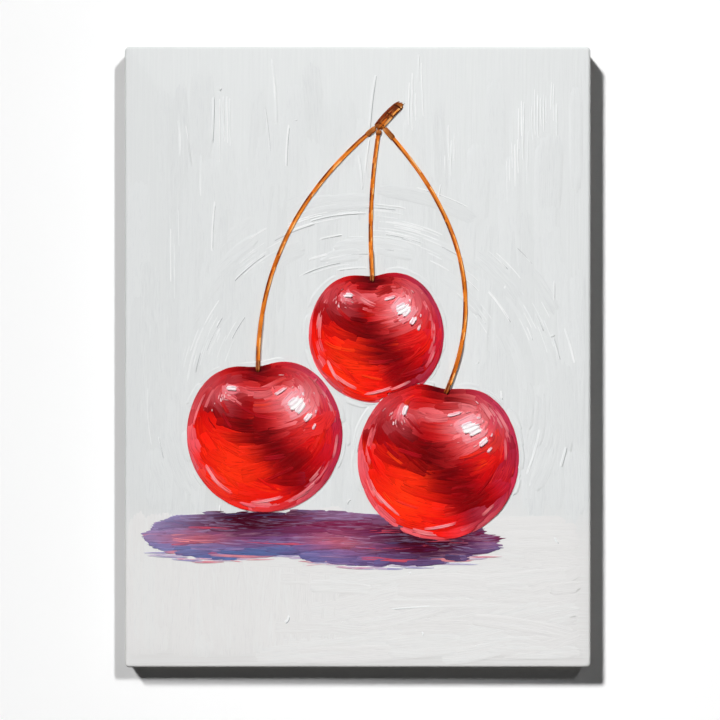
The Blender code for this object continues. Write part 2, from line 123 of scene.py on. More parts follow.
class NodeMaker:
    # adds nodes to a shader or a geometry tree
    def __init__(self, tree):
        self.tree = tree

    def connect(self, inputs, values):
        # links or sets sockets, given by number or by name without its spaces
        for key, value in values.items():
            socket = inputs[key] if isinstance(key, int) else next(
                s for s in inputs if s.name.replace(" ", "") == key)
            if isinstance(value, Wire):
                self.tree.links.new(value.socket, socket)
            elif value is not None:
                socket.default_value = value

    def add(self, kind, settings=None, sockets=None, output=0):
        node = self.tree.nodes.new(kind)
        for name, value in (settings or {}).items():
            setattr(node, name, value)
        self.connect(node.inputs, sockets or {})
        return Wire(self, node.outputs[output])

    def math(self, operation, a, b=None):
        return self.add("ShaderNodeMath", {"operation": operation}, {0: a, 1: b})

    def vector(self, operation, a, b):
        second = "Scale" if operation == "SCALE" else 1
        return self.add("ShaderNodeVectorMath", {"operation": operation}, {0: a, second: b})

    def combine(self, x, y, z):
        return self.add("ShaderNodeCombineXYZ", None, {0: x, 1: y, 2: z})

    def split(self, vector):
        first = self.add("ShaderNodeSeparateXYZ", None, {0: vector})
        return [Wire(self, output) for output in first.socket.node.outputs]

    def noise(self, vector, scale, detail, roughness=0.5):
        return self.add("ShaderNodeTexNoise", None,
                        {"Vector": vector, "Scale": scale, "Detail": detail, "Roughness": roughness})

    def stretch(self, vector, *scale):
        return self.add("ShaderNodeMapping", None, {"Vector": vector, "Scale": scale})

    def place(self):
        # the point in the piece's own coordinates
        return self.add("ShaderNodeTexCoord", output=3)

    def carried(self, name, output=2):
        # an attribute of the mesh: 0 is its colour, 1 its vector and 2 its number
        return self.add("ShaderNodeAttribute", {"attribute_name": name}, output=output)

    def mapRange(self, value, low, high, toLow=0.0, toHigh=1.0, smooth=False):
        settings = {"interpolation_type": "SMOOTHSTEP" if smooth else "LINEAR", "clamp": True}
        return self.add("ShaderNodeMapRange", settings, {0: value, 1: low, 2: high, 3: toLow, 4: toHigh})

    def mixColour(self, factor, a, b, blend="MIX"):
        # a and b are sums, linear colours or hex ones
        first, second = (c if isinstance(c, Wire) else (*(hexColour(c) if isinstance(c, str) else c), 1)
                         for c in (a, b))
        return self.add("ShaderNodeMix", {"data_type": "RGBA", "blend_type": blend},
                        {0: factor, 6: first, 7: second}, output=2)

    def bump(self, height, distance, strength):
        sockets = {"Height": height, "Distance": distance, "Strength": strength}
        return self.add("ShaderNodeBump", None, sockets)

    def geo(self, kind, settings=None, **sockets):
        return self.add(f"GeometryNode{kind}", settings, sockets)

    def stored(self, name, kind="FLOAT"):
        return self.geo("InputNamedAttribute", {"data_type": kind}, Name=name)


def newMaterial(name):
    material = bpy.data.materials.new(name)
    material.use_nodes = True
    maker = NodeMaker(material.node_tree)
    maker.material, maker.shader = material, material.node_tree.nodes["Principled BSDF"]
    return maker


def feed(maker, **values):
    # fills the shader's sockets
    maker.connect(maker.shader.inputs, values)
    return maker.material


def openTree(name, floats, integers=()):
    # a geometry tree and its inputs
    group = bpy.data.node_groups.new(name, "GeometryNodeTree")
    for side, kind, labels in (("INPUT", "Geometry", ("Geometry",)), ("INPUT", "Float", floats),
                               ("INPUT", "Int", integers), ("OUTPUT", "Geometry", ("Geometry",))):
        for label in labels:
            group.interface.new_socket(label, in_out=side, socket_type=f"NodeSocket{kind}")
    maker = NodeMaker(group)
    inputs = group.nodes.new("NodeGroupInput")
    return maker, [Wire(maker, inputs.outputs[label]) for label in ("Geometry", *floats, *integers)]


def closeTree(maker, geometry, material):
    geometry = maker.geo("SetShadeSmooth", Geometry=geometry, ShadeSmooth=True)
    geometry = maker.geo("RealizeInstances", Geometry=geometry)
    geometry = maker.geo("SetMaterial", Geometry=geometry, Material=material)
    output = maker.tree.nodes.new("NodeGroupOutput")
    maker.tree.links.new(geometry.socket, output.inputs[0])
    return maker.tree


def addPiece(name, mesh, material):
    piece = bpy.data.objects.new(name, mesh)
    bpy.context.scene.collection.objects.link(piece)
    piece.data.materials.clear()
    piece.data.materials.append(material)
    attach(piece, "root")
    return piece


def finishMesh(name, bm, sharp=40):
    bmesh.ops.recalc_face_normals(bm, faces=bm.faces)
    mesh = bpy.data.meshes.new(name)
    bm.to_mesh(mesh)
    bm.free()
    mesh.shade_smooth()
    mesh.set_sharp_from_angle(angle=math.radians(sharp))
    return mesh


def growPiece(name, source, group, values, material, sharp=50):
    # runs a geometry tree on a source mesh and keeps the plain result
    holder = bpy.data.objects.new(f"{name}Source", source)
    bpy.context.scene.collection.objects.link(holder)
    modifier = holder.modifiers.new(name, "NODES")
    modifier.node_group = group
    for item in group.interface.items_tree:
        if item.in_out == "INPUT" and item.name in values:
            modifier[item.identifier] = values[item.name]
    graph = bpy.context.evaluated_depsgraph_get()
    mesh = bpy.data.meshes.new_from_object(holder.evaluated_get(graph), preserve_all_data_layers=True,
                                           depsgraph=graph)
    mesh.name = name
    mesh.set_sharp_from_angle(angle=math.radians(sharp))
    bpy.data.objects.remove(holder)
    return addPiece(name, mesh, material)


def skinRings(bm, rings):
    # faces between closed rings, and one over each end
    for ring, other in zip(rings, rings[1:]):
        for i in range(len(ring)):
            j = (i + 1) % len(ring)
            bm.faces.new((ring[i], ring[j], other[j], other[i]))
    bm.faces.new(rings[0])
    bm.faces.new(rings[-1])


def panelRing(inset, sideSteps, cornerSteps=5):
    # (x, z, outward x, outward z) round the panel's edge moved inwards
    radius = max(panel["corner"] - inset, 0.0002)
    halfX, halfZ = (panel[side] / 2 - inset - radius for side in ("width", "height"))
    corners = []
    for quarter, (sideX, sideZ) in enumerate(((1, 1), (-1, 1), (-1, -1), (1, -1))):
        arc = []
        for share in shares(cornerSteps):
            outX, outZ = polar((0, 0), 1, math.pi / 2 * (quarter + share))
            arc.append((sideX * halfX + radius * outX, sideZ * halfZ + radius * outZ, outX, outZ))
        corners.append(arc)
    ring = []
    for i, arc in enumerate(corners):
        ring += arc
        first = corners[(i + 1) % 4][0]
        for share in shares(sideSteps)[1:-1]:
            ring.append(tuple(p + (q - p) * share for p, q in zip(arc[-1], first)))
    return ring


def wrapSection(away, sideEnd=None):
    # (inset, y) of a skin over the panel, away from the cloth's outer face, ending on the sides or the back
    def bend(fold, middle, angles):
        turns = [math.radians(180 - angle) for angle in angles]
        return [polar((fold, middle), fold + away, turn) for turn in turns]

    points = [(panel["frontFold"], panel["clothFront"] - away)]
    points += bend(panel["frontFold"], panel["clothFront"] + panel["frontFold"], (-67.5, -45, -22.5, 0))
    if sideEnd is not None:
        return points + [(-away, sideEnd)]
    points += bend(panel["backFold"], panel["clothBack"] - panel["backFold"], (0, 22.5, 45, 67.5, 90))
    return points + [(panel["lip"], panel["clothBack"] + away)]


def wrapBody(outer, inner, sideSteps, wobble=None):
    # a closed skin from its outer section and its inner one, with unrolled cloth coordinates
    bm = bmesh.new()
    layer = bm.verts.layers.float_vector.new("flatPlace")
    loops = []
    for section, flip in ((outer, False), (inner, True)):
        travelled, rings = 0.0, []
        for number, (inset, y) in enumerate(section):
            if number:
                travelled += math.dist(section[number - 1], (inset, y))
            past = travelled + inset - panel["frontFold"] if number else 0
            ring = []
            for x, z, outX, outZ in panelRing(inset, sideSteps):
                shift = wobble(x, z) if wobble and number == len(section) - 1 else 0
                vert = bm.verts.new((x, y + shift, z + panel["centreZ"]))
                vert[layer] = (x + outX * past, z + outZ * past, 0)
                ring.append(vert)
            rings.append(ring)
        loops += reversed(rings) if flip else rings
    skinRings(bm, loops)
    return bm


woodLooks = {
    "pine": {"pale": "#E3C592", "deep": "#C4935A", "knot": "#8C5A30", "ring": 330, "rough": 0.62},
    "beech": {"pale": "#CFA477", "deep": "#B07E50", "knot": "#8A5C38", "ring": 700, "rough": 0.55},
    "bloom": "#F0DCB4", "along": 0.045,
}


def woodMaterial(name, look, grainAxis):
    # grainAxis 0 runs along x, 2 along z
    maker = newMaterial(name)
    place = maker.place()
    scale = [1.0, 1.0, 1.0]
    scale[grainAxis] = woodLooks["along"]
    grain = maker.stretch(place, *scale)
    drift = maker.noise(grain, 60, 3)
    rings = maker.math("SINE", maker.noise(grain, look["ring"] * 0.12, 2) * 42 + drift * 5)
    fibre = maker.noise(grain, 2600, 3, 0.7)
    fleck = maker.mapRange(maker.noise(grain, 900, 2), 0.62, 0.72)
    rings = maker.mapRange(rings, -0.6, 1.0)
    base = maker.mixColour(rings, look["pale"], look["deep"])
    for share in (fibre * 0.35, fleck * 0.3):
        base = maker.mixColour(share, base, look["knot"])
    base = maker.mixColour(maker.noise(place, 35, 2) * 0.25, base, woodLooks["bloom"])
    return feed(maker, BaseColor=base, Roughness=look["rough"] + fibre * 0.15,
                Normal=maker.bump(fibre * 0.7 + rings * 0.5, 0.00012, 0.6))


clothLook = {
    # the hollow colours are painted shade where the weave dips between threads
    "primed": "#E9E7E1", "primedDip": "#D8D6CF", "raw": "#D9CBAE", "rawDip": "#B7A27C", "slub": "#F1E8D2",
    "stain": "#C6B48E", "thread": 0.00075, "relief": 0.00012, "slubScale": 1300,
}


def clothMaterial():
    # a plain weave on the unrolled cloth, primed outside and raw inside and on the turned edge
    maker = newMaterial("primed cotton duck")
    flat, place = maker.carried("flatPlace", 1), maker.place()
    flatX, flatZ, _ = maker.split(flat)
    wander = maker.noise(flat, 160, 2) * 1.6
    pitch = math.pi / clothLook["thread"]
    over = maker.math("SINE", flatX * pitch + wander) * maker.math("SINE", flatZ * pitch + wander)
    weave = maker.math("ABSOLUTE", over) * 0.6 + over * 0.4
    slubX, slubZ = (maker.noise(maker.stretch(flat, *scale), clothLook["slubScale"], 2)
                    for scale in ((1, 0.05, 1), (0.05, 1, 1)))
    _, depth, _ = maker.split(place)
    edge = depth + maker.noise(place, 90, 3) * 0.0022
    primed = maker.mapRange(edge, -0.0016, -0.0024, smooth=True)  # size soaks a little over the back fold
    primed = primed * (1 - maker.carried("inside"))
    # painted shade: the raw cloth is darker where the weave dips between the threads
    raw = maker.mixColour(maker.mapRange(weave, -0.2, 0.9), clothLook["rawDip"], clothLook["raw"])
    raw = maker.mixColour(slubX * slubZ * 1.4, raw, clothLook["slub"])
    raw = maker.mixColour(maker.mapRange(maker.noise(flat, 30, 3), 0.35, 0.7) * 0.25, raw, clothLook["stain"])
    # painted shade: the primed cloth is darker where the weave dips between the threads
    white = maker.mixColour(maker.mapRange(weave, -0.4, 0.6), clothLook["primedDip"], clothLook["primed"])
    height = weave + slubX * 0.5 + slubZ * 0.5
    return feed(maker, BaseColor=maker.mixColour(primed, raw, white), Roughness=0.92 - primed * 0.14,
                Normal=maker.bump(height * (1.15 - primed * 0.7), clothLook["relief"], 0.9))


metalLooks = {
    "staple": {"bright": "#B9B9B6", "dull": "#8B8A86", "rough": 0.28},
    "hanger": {"bright": "#C2BFB8", "dull": "#AFAAA0", "rough": 0.34},
}


def metalMaterial(name, look):
    # drawn or zinc plated steel with a blotchy film and fine scratches
    maker = newMaterial(name)
    place = maker.place()
    cloud = maker.noise(place, 160, 2)
    streak = maker.noise(maker.stretch(place, 1, 14, 14), 380, 3)
    base = maker.mixColour(maker.mapRange(cloud, 0.35, 0.65), look["dull"], look["bright"])
    return feed(maker, BaseColor=base, Metallic=1.0, Roughness=look["rough"] + cloud * 0.08 + streak * 0.08,
                Normal=maker.bump(streak, 0.000015, 0.5))


paintLook = {"bristle": 0.00060, "broad": 0.0016, "shine": 0.03, "roughLow": 0.30, "roughHigh": 0.50}
groundLook = {"cool": "#D9DBDB", "warm": "#DEDDDC", "streak": "#E1E3E2", "bristle": 0.0021}


def groundMaterial():
    # the under-coat, brushed up and down at the top and across at the foot, and up the sides
    maker = newMaterial("pale ground paint")
    place = maker.place()
    _, _, up = maker.split(place)
    foot = maker.mapRange(up + maker.noise(place, 14, 2) * 0.10, -0.20, -0.27, smooth=True)
    upright = maker.noise(maker.stretch(place, 1, 1, 0.03), 1.6 / groundLook["bristle"], 4, 0.62)
    level = maker.noise(maker.stretch(place, 0.03, 1, 1), 1.4 / groundLook["bristle"], 4, 0.62)
    bristle = upright * (1 - foot) + level * foot
    base = maker.mixColour(foot, groundLook["cool"], groundLook["warm"])
    base = maker.mixColour(maker.mapRange(bristle, 0.45, 0.8) * 0.5, base, groundLook["streak"])
    return feed(maker, BaseColor=base, Roughness=0.50 + bristle * 0.12, SpecularIORLevel=paintLook["shine"],
                Normal=maker.bump(bristle, 0.00030, 0.7))


def paintMaterial(name, grooveShade, relief):
    # brushed paint whose two colours and streaks come with each stroke
    maker = newMaterial(name)
    across, along, seed, halfWidth, reach = (
        maker.carried(key) for key in ("across", "along", "seed", "halfWidth", "reach"))
    fine = maker.combine(across * halfWidth / paintLook["bristle"], along * reach / 0.010, seed * 3.7)
    broad = maker.combine(across * halfWidth / paintLook["broad"], along * reach / 0.024, seed * 9.1)
    bristle, streak = maker.noise(fine, 1.0, 3, 0.6), maker.noise(broad, 1.0, 2, 0.55)
    mask = maker.mapRange(streak * 0.5 + bristle * 0.5, 0.47, 0.62, smooth=True)
    base = maker.mixColour(mask, maker.carried("paintColour", 0), maker.carried("streakColour", 0))
    # painted shade: the colour is darkened in the low bristle grooves of the relief
    dark = maker.mixColour(1.0, base, grooveShade, "MULTIPLY")
    base = maker.mixColour(maker.mapRange(bristle, 0.45, 0.33), base, dark)
    rough = maker.mapRange(bristle, 0.3, 0.7, paintLook["roughHigh"], paintLook["roughLow"])
    return feed(maker, BaseColor=base, Roughness=rough, SpecularIORLevel=paintLook["shine"],
                Normal=maker.bump(bristle + streak * 0.5, relief, 0.9))


clothPaint = clothMaterial()
groundPaint = groundMaterial()
# the middle values are the painted shade multiplied into each paint's bristle grooves
strongPaint = paintMaterial("strong oil colour", (0.66, 0.60, 0.64), 0.00030)
palePaint = paintMaterial("pale oil colour", (0.95, 0.95, 0.96), 0.00014)
stapleSteel = metalMaterial("drawn staple wire", metalLooks["staple"])
print("finishes made")

# the stretcher, keys and hanger keep their solids
dressed = (
    (("bar_top", "bar_bottom"), woodMaterial("planed pine across", woodLooks["pine"], 0)),
    (("bar_left", "bar_right"), woodMaterial("planed pine upright", woodLooks["pine"], 2)),
    (("key_1", "key_3", "key_5", "key_7"), woodMaterial("beech across", woodLooks["beech"], 0)),
    (("key_2", "key_4", "key_6", "key_8"), woodMaterial("beech upright", woodLooks["beech"], 2)),
    (("hanger", "pin_left", "pin_right"), metalMaterial("zinc plated strip", metalLooks["hanger"])),
)
for names, material in dressed:
    for name in names:
        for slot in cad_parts[name].material_slots:
            slot.material = material
print("stretcher dressed")

clothSizes = {
    "sideSteps": 60, "flapThick": 0.0006,
    # the tucked corner's outline, in from the panel's own corner
    "flap": ((0.0012, 0.0014), (0.021, 0.0014), (0.0172, 0.0080), (0.0156, 0.0154)),
    "flapMiddle": (0.012, 0.006), "flapRises": (0.00002, 0.00045), "flapBevel": 0.0003,
}


def foldFlap(bm, layer, sideX, sideZ):
    # the tucked corner, folded flat along the upper or lower edge
    half = Vector((panel["width"] / 2, panel["height"] / 2))
    rings = []
    low, high = clothSizes["flapRises"]
    for rise, shrink in ((low, 0), (high, 0), (clothSizes["flapThick"], clothSizes["flapBevel"])):
        ring = []
        for corner in clothSizes["flap"]:
            towards = (Vector(corner) - Vector(clothSizes["flapMiddle"])).normalized() * shrink
            x, z = half - Vector(corner) + towards
            place = (sideX * x, panel["clothBack"] + rise, sideZ * z + panel["centreZ"])
            vert = bm.verts.new(place)
            vert[layer] = (place[0] * 0.7 + place[2] * 0.7, place[2] * 0.7 - place[0] * 0.7, 0)
            ring.append(vert)
        rings.append(ring)
    skinRings(bm, rings)


def makeCloth():
    bm = wrapBody(wrapSection(0), wrapSection(-panel["cloth"]), clothSizes["sideSteps"])
    layer = bm.verts.layers.float_vector["flatPlace"]
    inside = bm.verts.layers.float.new("inside")
    count = len(bm.verts)
    bm.verts.ensure_lookup_table()
    for number, vert in enumerate(bm.verts):
        vert[inside] = 1.0 if number >= count // 2 else 0.0
    for sideX in (1, -1):
        for sideZ in (1, -1):
            foldFlap(bm, layer, sideX, sideZ)
    return addPiece("canvasCloth", finishMesh("canvasCloth", bm), clothPaint)


cloth = makeCloth()
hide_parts("canvas")
print("cloth drawn over the bars")

stapleSizes = {
    "crown": 0.0106, "wire": 0.0012, "flat": 0.0007, "inset": 0.0085, "sink": 0.0006, "seed": 31,
    "across": 5, "up": 7, "margin": 0.034, "askew": 9,
}


def stapleTree(material):
    maker, (points, crown, wide, thick, leg) = openTree(
        "staple row", ("Crown", "Wire Width", "Wire Thickness", "Leg"))
    half = crown * 0.5
    line = maker.geo("CurvePrimitiveLine", Start=maker.combine(-half, 0, 0), End=maker.combine(half, 0, 0))
    line = maker.geo("ResampleCurve", Curve=line, Count=13)
    x, _, _ = maker.split(maker.geo("InputPosition"))
    bend = maker.math("MAXIMUM", maker.math("ABSOLUTE", x) / half - 0.78, 0) / 0.22
    drop = bend * bend * leg
    line = maker.geo("SetPosition", Geometry=line, Offset=maker.combine(0, -drop, 0))
    profile = maker.geo("CurvePrimitiveQuadrilateral", Width=wide, Height=thick)
    profile = maker.geo("FilletCurve", Curve=profile, Radius=wide * 0.3)
    wire = maker.geo("CurveToMesh", Curve=line, ProfileCurve=profile, FillCaps=True)
    placed = maker.geo("InstanceOnPoints", Points=points, Instance=wire,
                       Rotation=maker.combine(0, maker.stored("turn"), 0))
    return closeTree(maker, placed, material)


def stapleRow():
    rng = random.Random(stapleSizes["seed"])

    def spaced(count, length):
        span = length - 2 * stapleSizes["margin"]
        return [span * (share - 0.5) for share in shares(count - 1)]

    places, turns = [], []
    acrossZ, upX = (panel[side] / 2 - stapleSizes["inset"] for side in ("height", "width"))
    for side in (1, -1):
        row = [(x, side * acrossZ, 0) for x in spaced(stapleSizes["across"], panel["width"])]
        row += [(side * upX, z, math.pi / 2) for z in spaced(stapleSizes["up"], panel["height"])]
        for x, z, turn in row:
            places.append((x, panel["clothBack"] + stapleSizes["flat"] * 0.75, z + panel["centreZ"]))
            turns.append(turn + rng.uniform(-1, 1) * math.radians(stapleSizes["askew"]))
    mesh = bpy.data.meshes.new("staplePlaces")
    mesh.from_pydata(places, [], [])
    mesh.attributes.new("turn", "FLOAT", "POINT").data.foreach_set("value", turns)
    values = {"Crown": stapleSizes["crown"], "Wire Width": stapleSizes["flat"],
              "Wire Thickness": stapleSizes["wire"], "Leg": stapleSizes["sink"] * 2}
    return growPiece("staples", mesh, stapleTree(stapleSteel), values, stapleSteel)


staples = stapleRow()
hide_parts(*[f"staple_{n}" for n in range(1, 25)])
print("staples driven")

# the ground coat under the brushwork
groundSizes = {
    "thick": 0.00035, "sunk": 0.0002, "sideEdge": -0.0060, "innerEdge": -0.0066, "sideWaver": 0.0022,
    "waves": 6, "waveRate": (30, 160), "waveShare": (0.2, 1), "turn": (0, math.tau),
    "sideSteps": 90, "seed": 5,
}


def makeGround():
    rng = random.Random(groundSizes["seed"])
    span = drawFrom(rng, groundSizes)
    waves = [(span("waveRate"), span("turn"), span("waveShare")) for _ in range(groundSizes["waves"])]
    total = sum(wave[2] for wave in waves)

    def waver(x, z):
        run = (x * 1.3 + z) * 6
        return groundSizes["sideWaver"] * sum(w * math.sin(f * run + p) for f, p, w in waves) / total

    outer = wrapSection(groundSizes["thick"], groundSizes["sideEdge"])
    inner = wrapSection(-groundSizes["sunk"], groundSizes["innerEdge"])
    bm = wrapBody(outer, inner, groundSizes["sideSteps"], waver)
    return addPiece("groundCoat", finishMesh("groundCoat", bm), groundPaint)


makeGround()
print("ground coat laid")

strokeSizes = {
    "columns": 11, "steps": 12, "foot": 0.00022, "sharp": 62, "riseRate": 7.2,
    # the ragged ends, and how a stroke narrows, thins and swells towards them
    "tailRun": 2.6, "headRun": 1.3, "tuck": 1.2, "tailNarrow": 0.22, "headNarrow": 0.18,
    "tailThin": 0.75, "headSwell": 0.15, "crown": 0.55, "sideRidge": 0.30,
}


def strokeTree(material):
    maker, (rail, ridgeWidth, ridgeHeight, foot, treeSeed) = openTree(
        "brush strokes", ("Ridge Width", "Ridge Height", "Foot Height"), ("Seed",))
    look, stored = strokeSizes, maker.stored

    def store(geometry, name, value, kind="FLOAT"):
        return maker.geo("StoreNamedAttribute", {"data_type": kind, "domain": "POINT"},
                         Geometry=geometry, Name=name, Value=value)

    def ragNoise(place, along, seed):
        return maker.noise(maker.combine(place, along, seed), 1.0, 1) - 0.5

    # the brush's path, resampled evenly
    rail = maker.geo("MeshToCurve", Mesh=rail)
    rail = maker.geo("CurveSplineType", {"spline_type": "CATMULL_ROM"}, Curve=rail)
    rail = maker.geo("ResampleCurve", Curve=rail, Count=look["steps"] + 1)
    rail = store(rail, "railPlace", maker.geo("InputPosition"), "FLOAT_VECTOR")
    rail = store(rail, "railAim", maker.geo("InputTangent"), "FLOAT_VECTOR")
    rail = store(rail, "along", maker.geo("SplineParameter"))

    # the section: a row of bristle columns on the lid, and two corners at the foot
    columns = look["columns"]
    ring = maker.geo("CurvePrimitiveCircle", {"mode": "RADIUS"}, Resolution=columns + 2, Radius=0.001)
    index = maker.geo("InputIndex")
    onLid = maker.math("LESS_THAN", index, columns - 0.5)
    lidPlace = 1 - index * (2 / (columns - 1))
    footPlace = (index - columns) * 2 - 1
    ring = store(ring, "lid", onLid)
    ring = store(ring, "across", lidPlace * onLid + footPlace * (1 - onLid))
    body = maker.geo("CurveToMesh", Curve=rail, ProfileCurve=ring, FillCaps=True)

    # each point's own place in its stroke
    across, along, lid = stored("across"), stored("along"), stored("lid")
    seed = stored("seed") + treeSeed
    halfWidth, lift, thick, ragged = (stored(n) for n in ("halfWidth", "lift", "thick", "ragged"))
    hair = across * halfWidth / ridgeWidth
    bristle = ragNoise(hair, along * 2.2, seed * 5.3)
    head, tail = (ragNoise(hair * 1.3, at, seed * 3.1 + more) for at, more in ((0.4, 40), (7.4, 80)))
    nearTail = along ** 6
    nearHead = (1 - along) ** 8
    square = across * across
    atTail = (tail * look["tailRun"] - square * 0.5) * ragged * nearTail
    atHead = (head * look["headRun"] - square * 0.45) * ragged * nearHead
    shift = atTail - atHead
    tuck = (nearHead - nearTail) * ragged * look["tuck"]  # the foot's corners stay under the ragged ends
    shift = shift * lid + tuck * (1 - lid)
    narrow = 1 - nearTail * look["tailNarrow"] - nearHead * look["headNarrow"]
    breadth = halfWidth * (narrow + (along - 0.5) * bristle * 0.3)
    sideRidge = square * (1 - square) * 4
    rim = 1 - square * square * square * 0.6
    run = 1 - nearTail * look["tailThin"] + nearHead * look["headSwell"]
    relief = thick * rim * run * (look["crown"] + sideRidge * look["sideRidge"])
    top = lift + relief + bristle * ridgeHeight * run * rim
    toEnd = maker.math("MINIMUM", along, 1 - along) * look["riseRate"]
    height = foot + lid * maker.math("MINIMUM", toEnd, 1) ** 0.5 * (top - foot)
    aim = stored("railAim", "FLOAT_VECTOR")
    side = maker.vector("CROSS_PRODUCT", (0, -1, 0), aim)
    place = stored("railPlace", "FLOAT_VECTOR")
    for move in (maker.vector("SCALE", aim, shift), maker.vector("SCALE", side, across * breadth),
                 maker.combine(0, -height, 0)):
        place = maker.vector("ADD", place, move)
    body = maker.geo("SetPosition", Geometry=body, Position=place)
    return closeTree(maker, body, material)


strokeTrees = {finish.name: strokeTree(finish) for finish in (strongPaint, palePaint)}


def laidStroke(points, halfWidth, lift, thick, paint, streak, ragged):
    # paint and streak are one colour each, or one for each point
    paint, streak = (list(shade) if isinstance(shade[0], tuple) else [tuple(shade)] * len(points)
                     for shade in (paint, streak))
    return {"points": points, "halfWidth": halfWidth, "lift": lift, "thick": thick, "paint": paint,
            "streak": streak, "ragged": ragged}


def paintPiece(name, laid, node, ridgeWidth, ridgeHeight, seed, finish=strongPaint):
    mesh = bpy.data.meshes.new(f"{name}Rails")
    places, edges = [], []
    floats = {key: [] for key in ("halfWidth", "lift", "thick", "ragged", "seed", "reach")}
    colours = {"paint": [], "streak": []}
    for number, stroke in enumerate(laid):
        points = stroke["points"]
        first = len(places)
        places += [(x, panel["clothFront"], z + panel["centreZ"]) for x, z in points]
        edges += [(first + i, first + i + 1) for i in range(len(points) - 1)]
        stroke["seed"] = float(number)
        stroke["reach"] = sum(math.dist(a, b) for a, b in zip(points, points[1:]))
        for key, values in floats.items():
            values += [stroke[key]] * len(points)
        for key, values in colours.items():
            for shade in stroke[key]:
                values += [*shade, 1]
    mesh.from_pydata(places, edges, [])
    for key, values in floats.items():
        mesh.attributes.new(key, "FLOAT", "POINT").data.foreach_set("value", values)
    for key, values in colours.items():
        mesh.attributes.new(f"{key}Colour", "FLOAT_COLOR", "POINT").data.foreach_set("color", values)
    values = {"Ridge Width": ridgeWidth, "Ridge Height": ridgeHeight, "Foot Height": strokeSizes["foot"],
              "Seed": seed}
    piece = growPiece(name, mesh, strokeTrees[finish.name], values, finish, strokeSizes["sharp"])
    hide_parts(node)
    print(name, len(laid), "strokes,", len(piece.data.polygons), "faces")


def arcPath(centre, radius, start, end):
    return [polar(centre, radius, start + (end - start) * t) for t in shares(6)]


def keepInside(points, margin, ends=0.0050):
    # a stroke's ends may run nearer to the panel's edge than its sides
    level = abs(points[-1][0] - points[0][0]) > abs(points[-1][1] - points[0][1])
    marginX, marginZ = (min(ends, margin), margin) if level else (margin, min(ends, margin))
    halfX, halfZ = panel["width"] / 2 - marginX, panel["height"] / 2 - marginZ
    return [(min(max(x, -halfX), halfX), min(max(z, -halfZ), halfZ)) for x, z in points]


def clipPath(path, blocked):
    # the longest run of a path that nothing blocks
    fine = []
    for a, b in zip(path, path[1:]):
        fine += [tuple(p + (q - p) * t / 4 for p, q in zip(a, b)) for t in range(4)]
    fine.append(path[-1])
    best, run = [], []
    for point in fine:
        run = [] if blocked(point) else run + [point]
        if len(run) > len(best):
            best = run
    if len(best) < 7:
        return None
    return [best[round(i * (len(best) - 1) / 6)] for i in range(7)]


cherries = {
    "left": {"centre": (-0.060, -0.050), "radius": 0.0500, "lean": 6, "seed": 21},
    "middle": {"centre": (0.012, 0.014), "radius": 0.0430, "lean": 4, "seed": 22},
    "front": {"centre": (0.052, -0.066), "radius": 0.0520, "lean": -6, "seed": 23},
}
cherryLook = {
    "base": "#BC040C", "core": "#600004", "deep": "#940208", "scarlet": "#EC140A", "glow": "#FC300E",
    "halo": "#F4949A", "rim": "#E8626C", "mauve": "#A83256", "hollow": "#3C0008", "lip": "#EE7A80",
    "rich": ("#9A0410", "#C00C14", "#5A0006", "#AC1020"),
    "bright": ("#FA2C0E", "#D80810", "#F03830", "#FF4616"),
    "streaks": ("#F89CA0", "#C81824", "#F4888C", "#E04858", "#F07A80"),
    "dust": ("#F9D4DA", "#F4A8B0", "#FCEAEC", "#F08C94"),
    "rimPaint": ("#F08C90", "#EE7A80", "#E8626C", "#F4A0A4"), "valueSpread": 0.09,
    # spots on the unit disc of a cherry, and the way to the light
    "glowSpot": (-0.42, -0.42), "haloSpot": (0.40, 0.42), "smallSpot": (-0.50, 0.52), "light": (0.66, 0.75),
    # the dome of paint, and the under-strokes that cover it
    "foot": 0.00050, "dome": 0.00125, "rings": (0.945, 0.84, 0.72, 0.60, 0.48, 0.36, 0.24), "ringStrokes": 20,
    "ringLength": 0.026, "ringHalf": 0.0046, "outerRing": 0.9, "outerHalf": 0.0030,
    "drops": (0.006, 0, -0.006), "dropHalf": 0.0040,
    # the strokes over them: how many of each kind, then their half widths, lengths, heights and reach
    "body": 62, "bodyHalf": (0.0026, 0.0062), "bodyLength": (0.030, 0.066), "bodyLift": (0.0002, 0.0004),
    "bodyOut": 0.92, "bodyTurn": 0.16, "bodyRagged": 0.006, "bodyStreak": (0.15, 0.45),
    "hollowFrom": 0.45, "hollowRagged": 0.002, "hollowGap": 0.0010,
    "accents": 16, "accentHalf": (0.0006, 0.0016), "accentLength": (0.012, 0.030),
    "accentLift": (0.00045, 0.00065), "accentOut": 0.86, "accentTurn": 0.2,
    "specks": 46, "speckHalf": (0.00022, 0.00042), "speckLength": (0.0012, 0.0045),
    "speckLift": (0.0006, 0.0008), "speckGap": 0.004, "speckSpots": (("haloSpot", 0.13), ("smallSpot", 0.07)),
    "rimStrokes": 16, "rimHalf": (0.0006, 0.0012), "rimLength": (0.012, 0.026), "rimLift": (0.0005, 0.0007),
    "rimTurns": (135, 405), "rimOut": (0.84, 0.94), "rimGap": 0.0022,
}


def outlineRadius(cherry, angle):
    away = math.remainder(angle - math.radians(90 + cherry["lean"]), math.tau)
    dip = 0.13 * math.exp(-((away / 0.34) ** 2))
    shoulder = 0.02 * math.exp(-(((abs(away) - 0.75) / 0.35) ** 2))
    return cherry["radius"] * (1 - dip + shoulder)


def nearSpot(u, v, spot, size):
    return math.exp(-((u - spot[0]) ** 2 + (v - spot[1]) ** 2) / size)


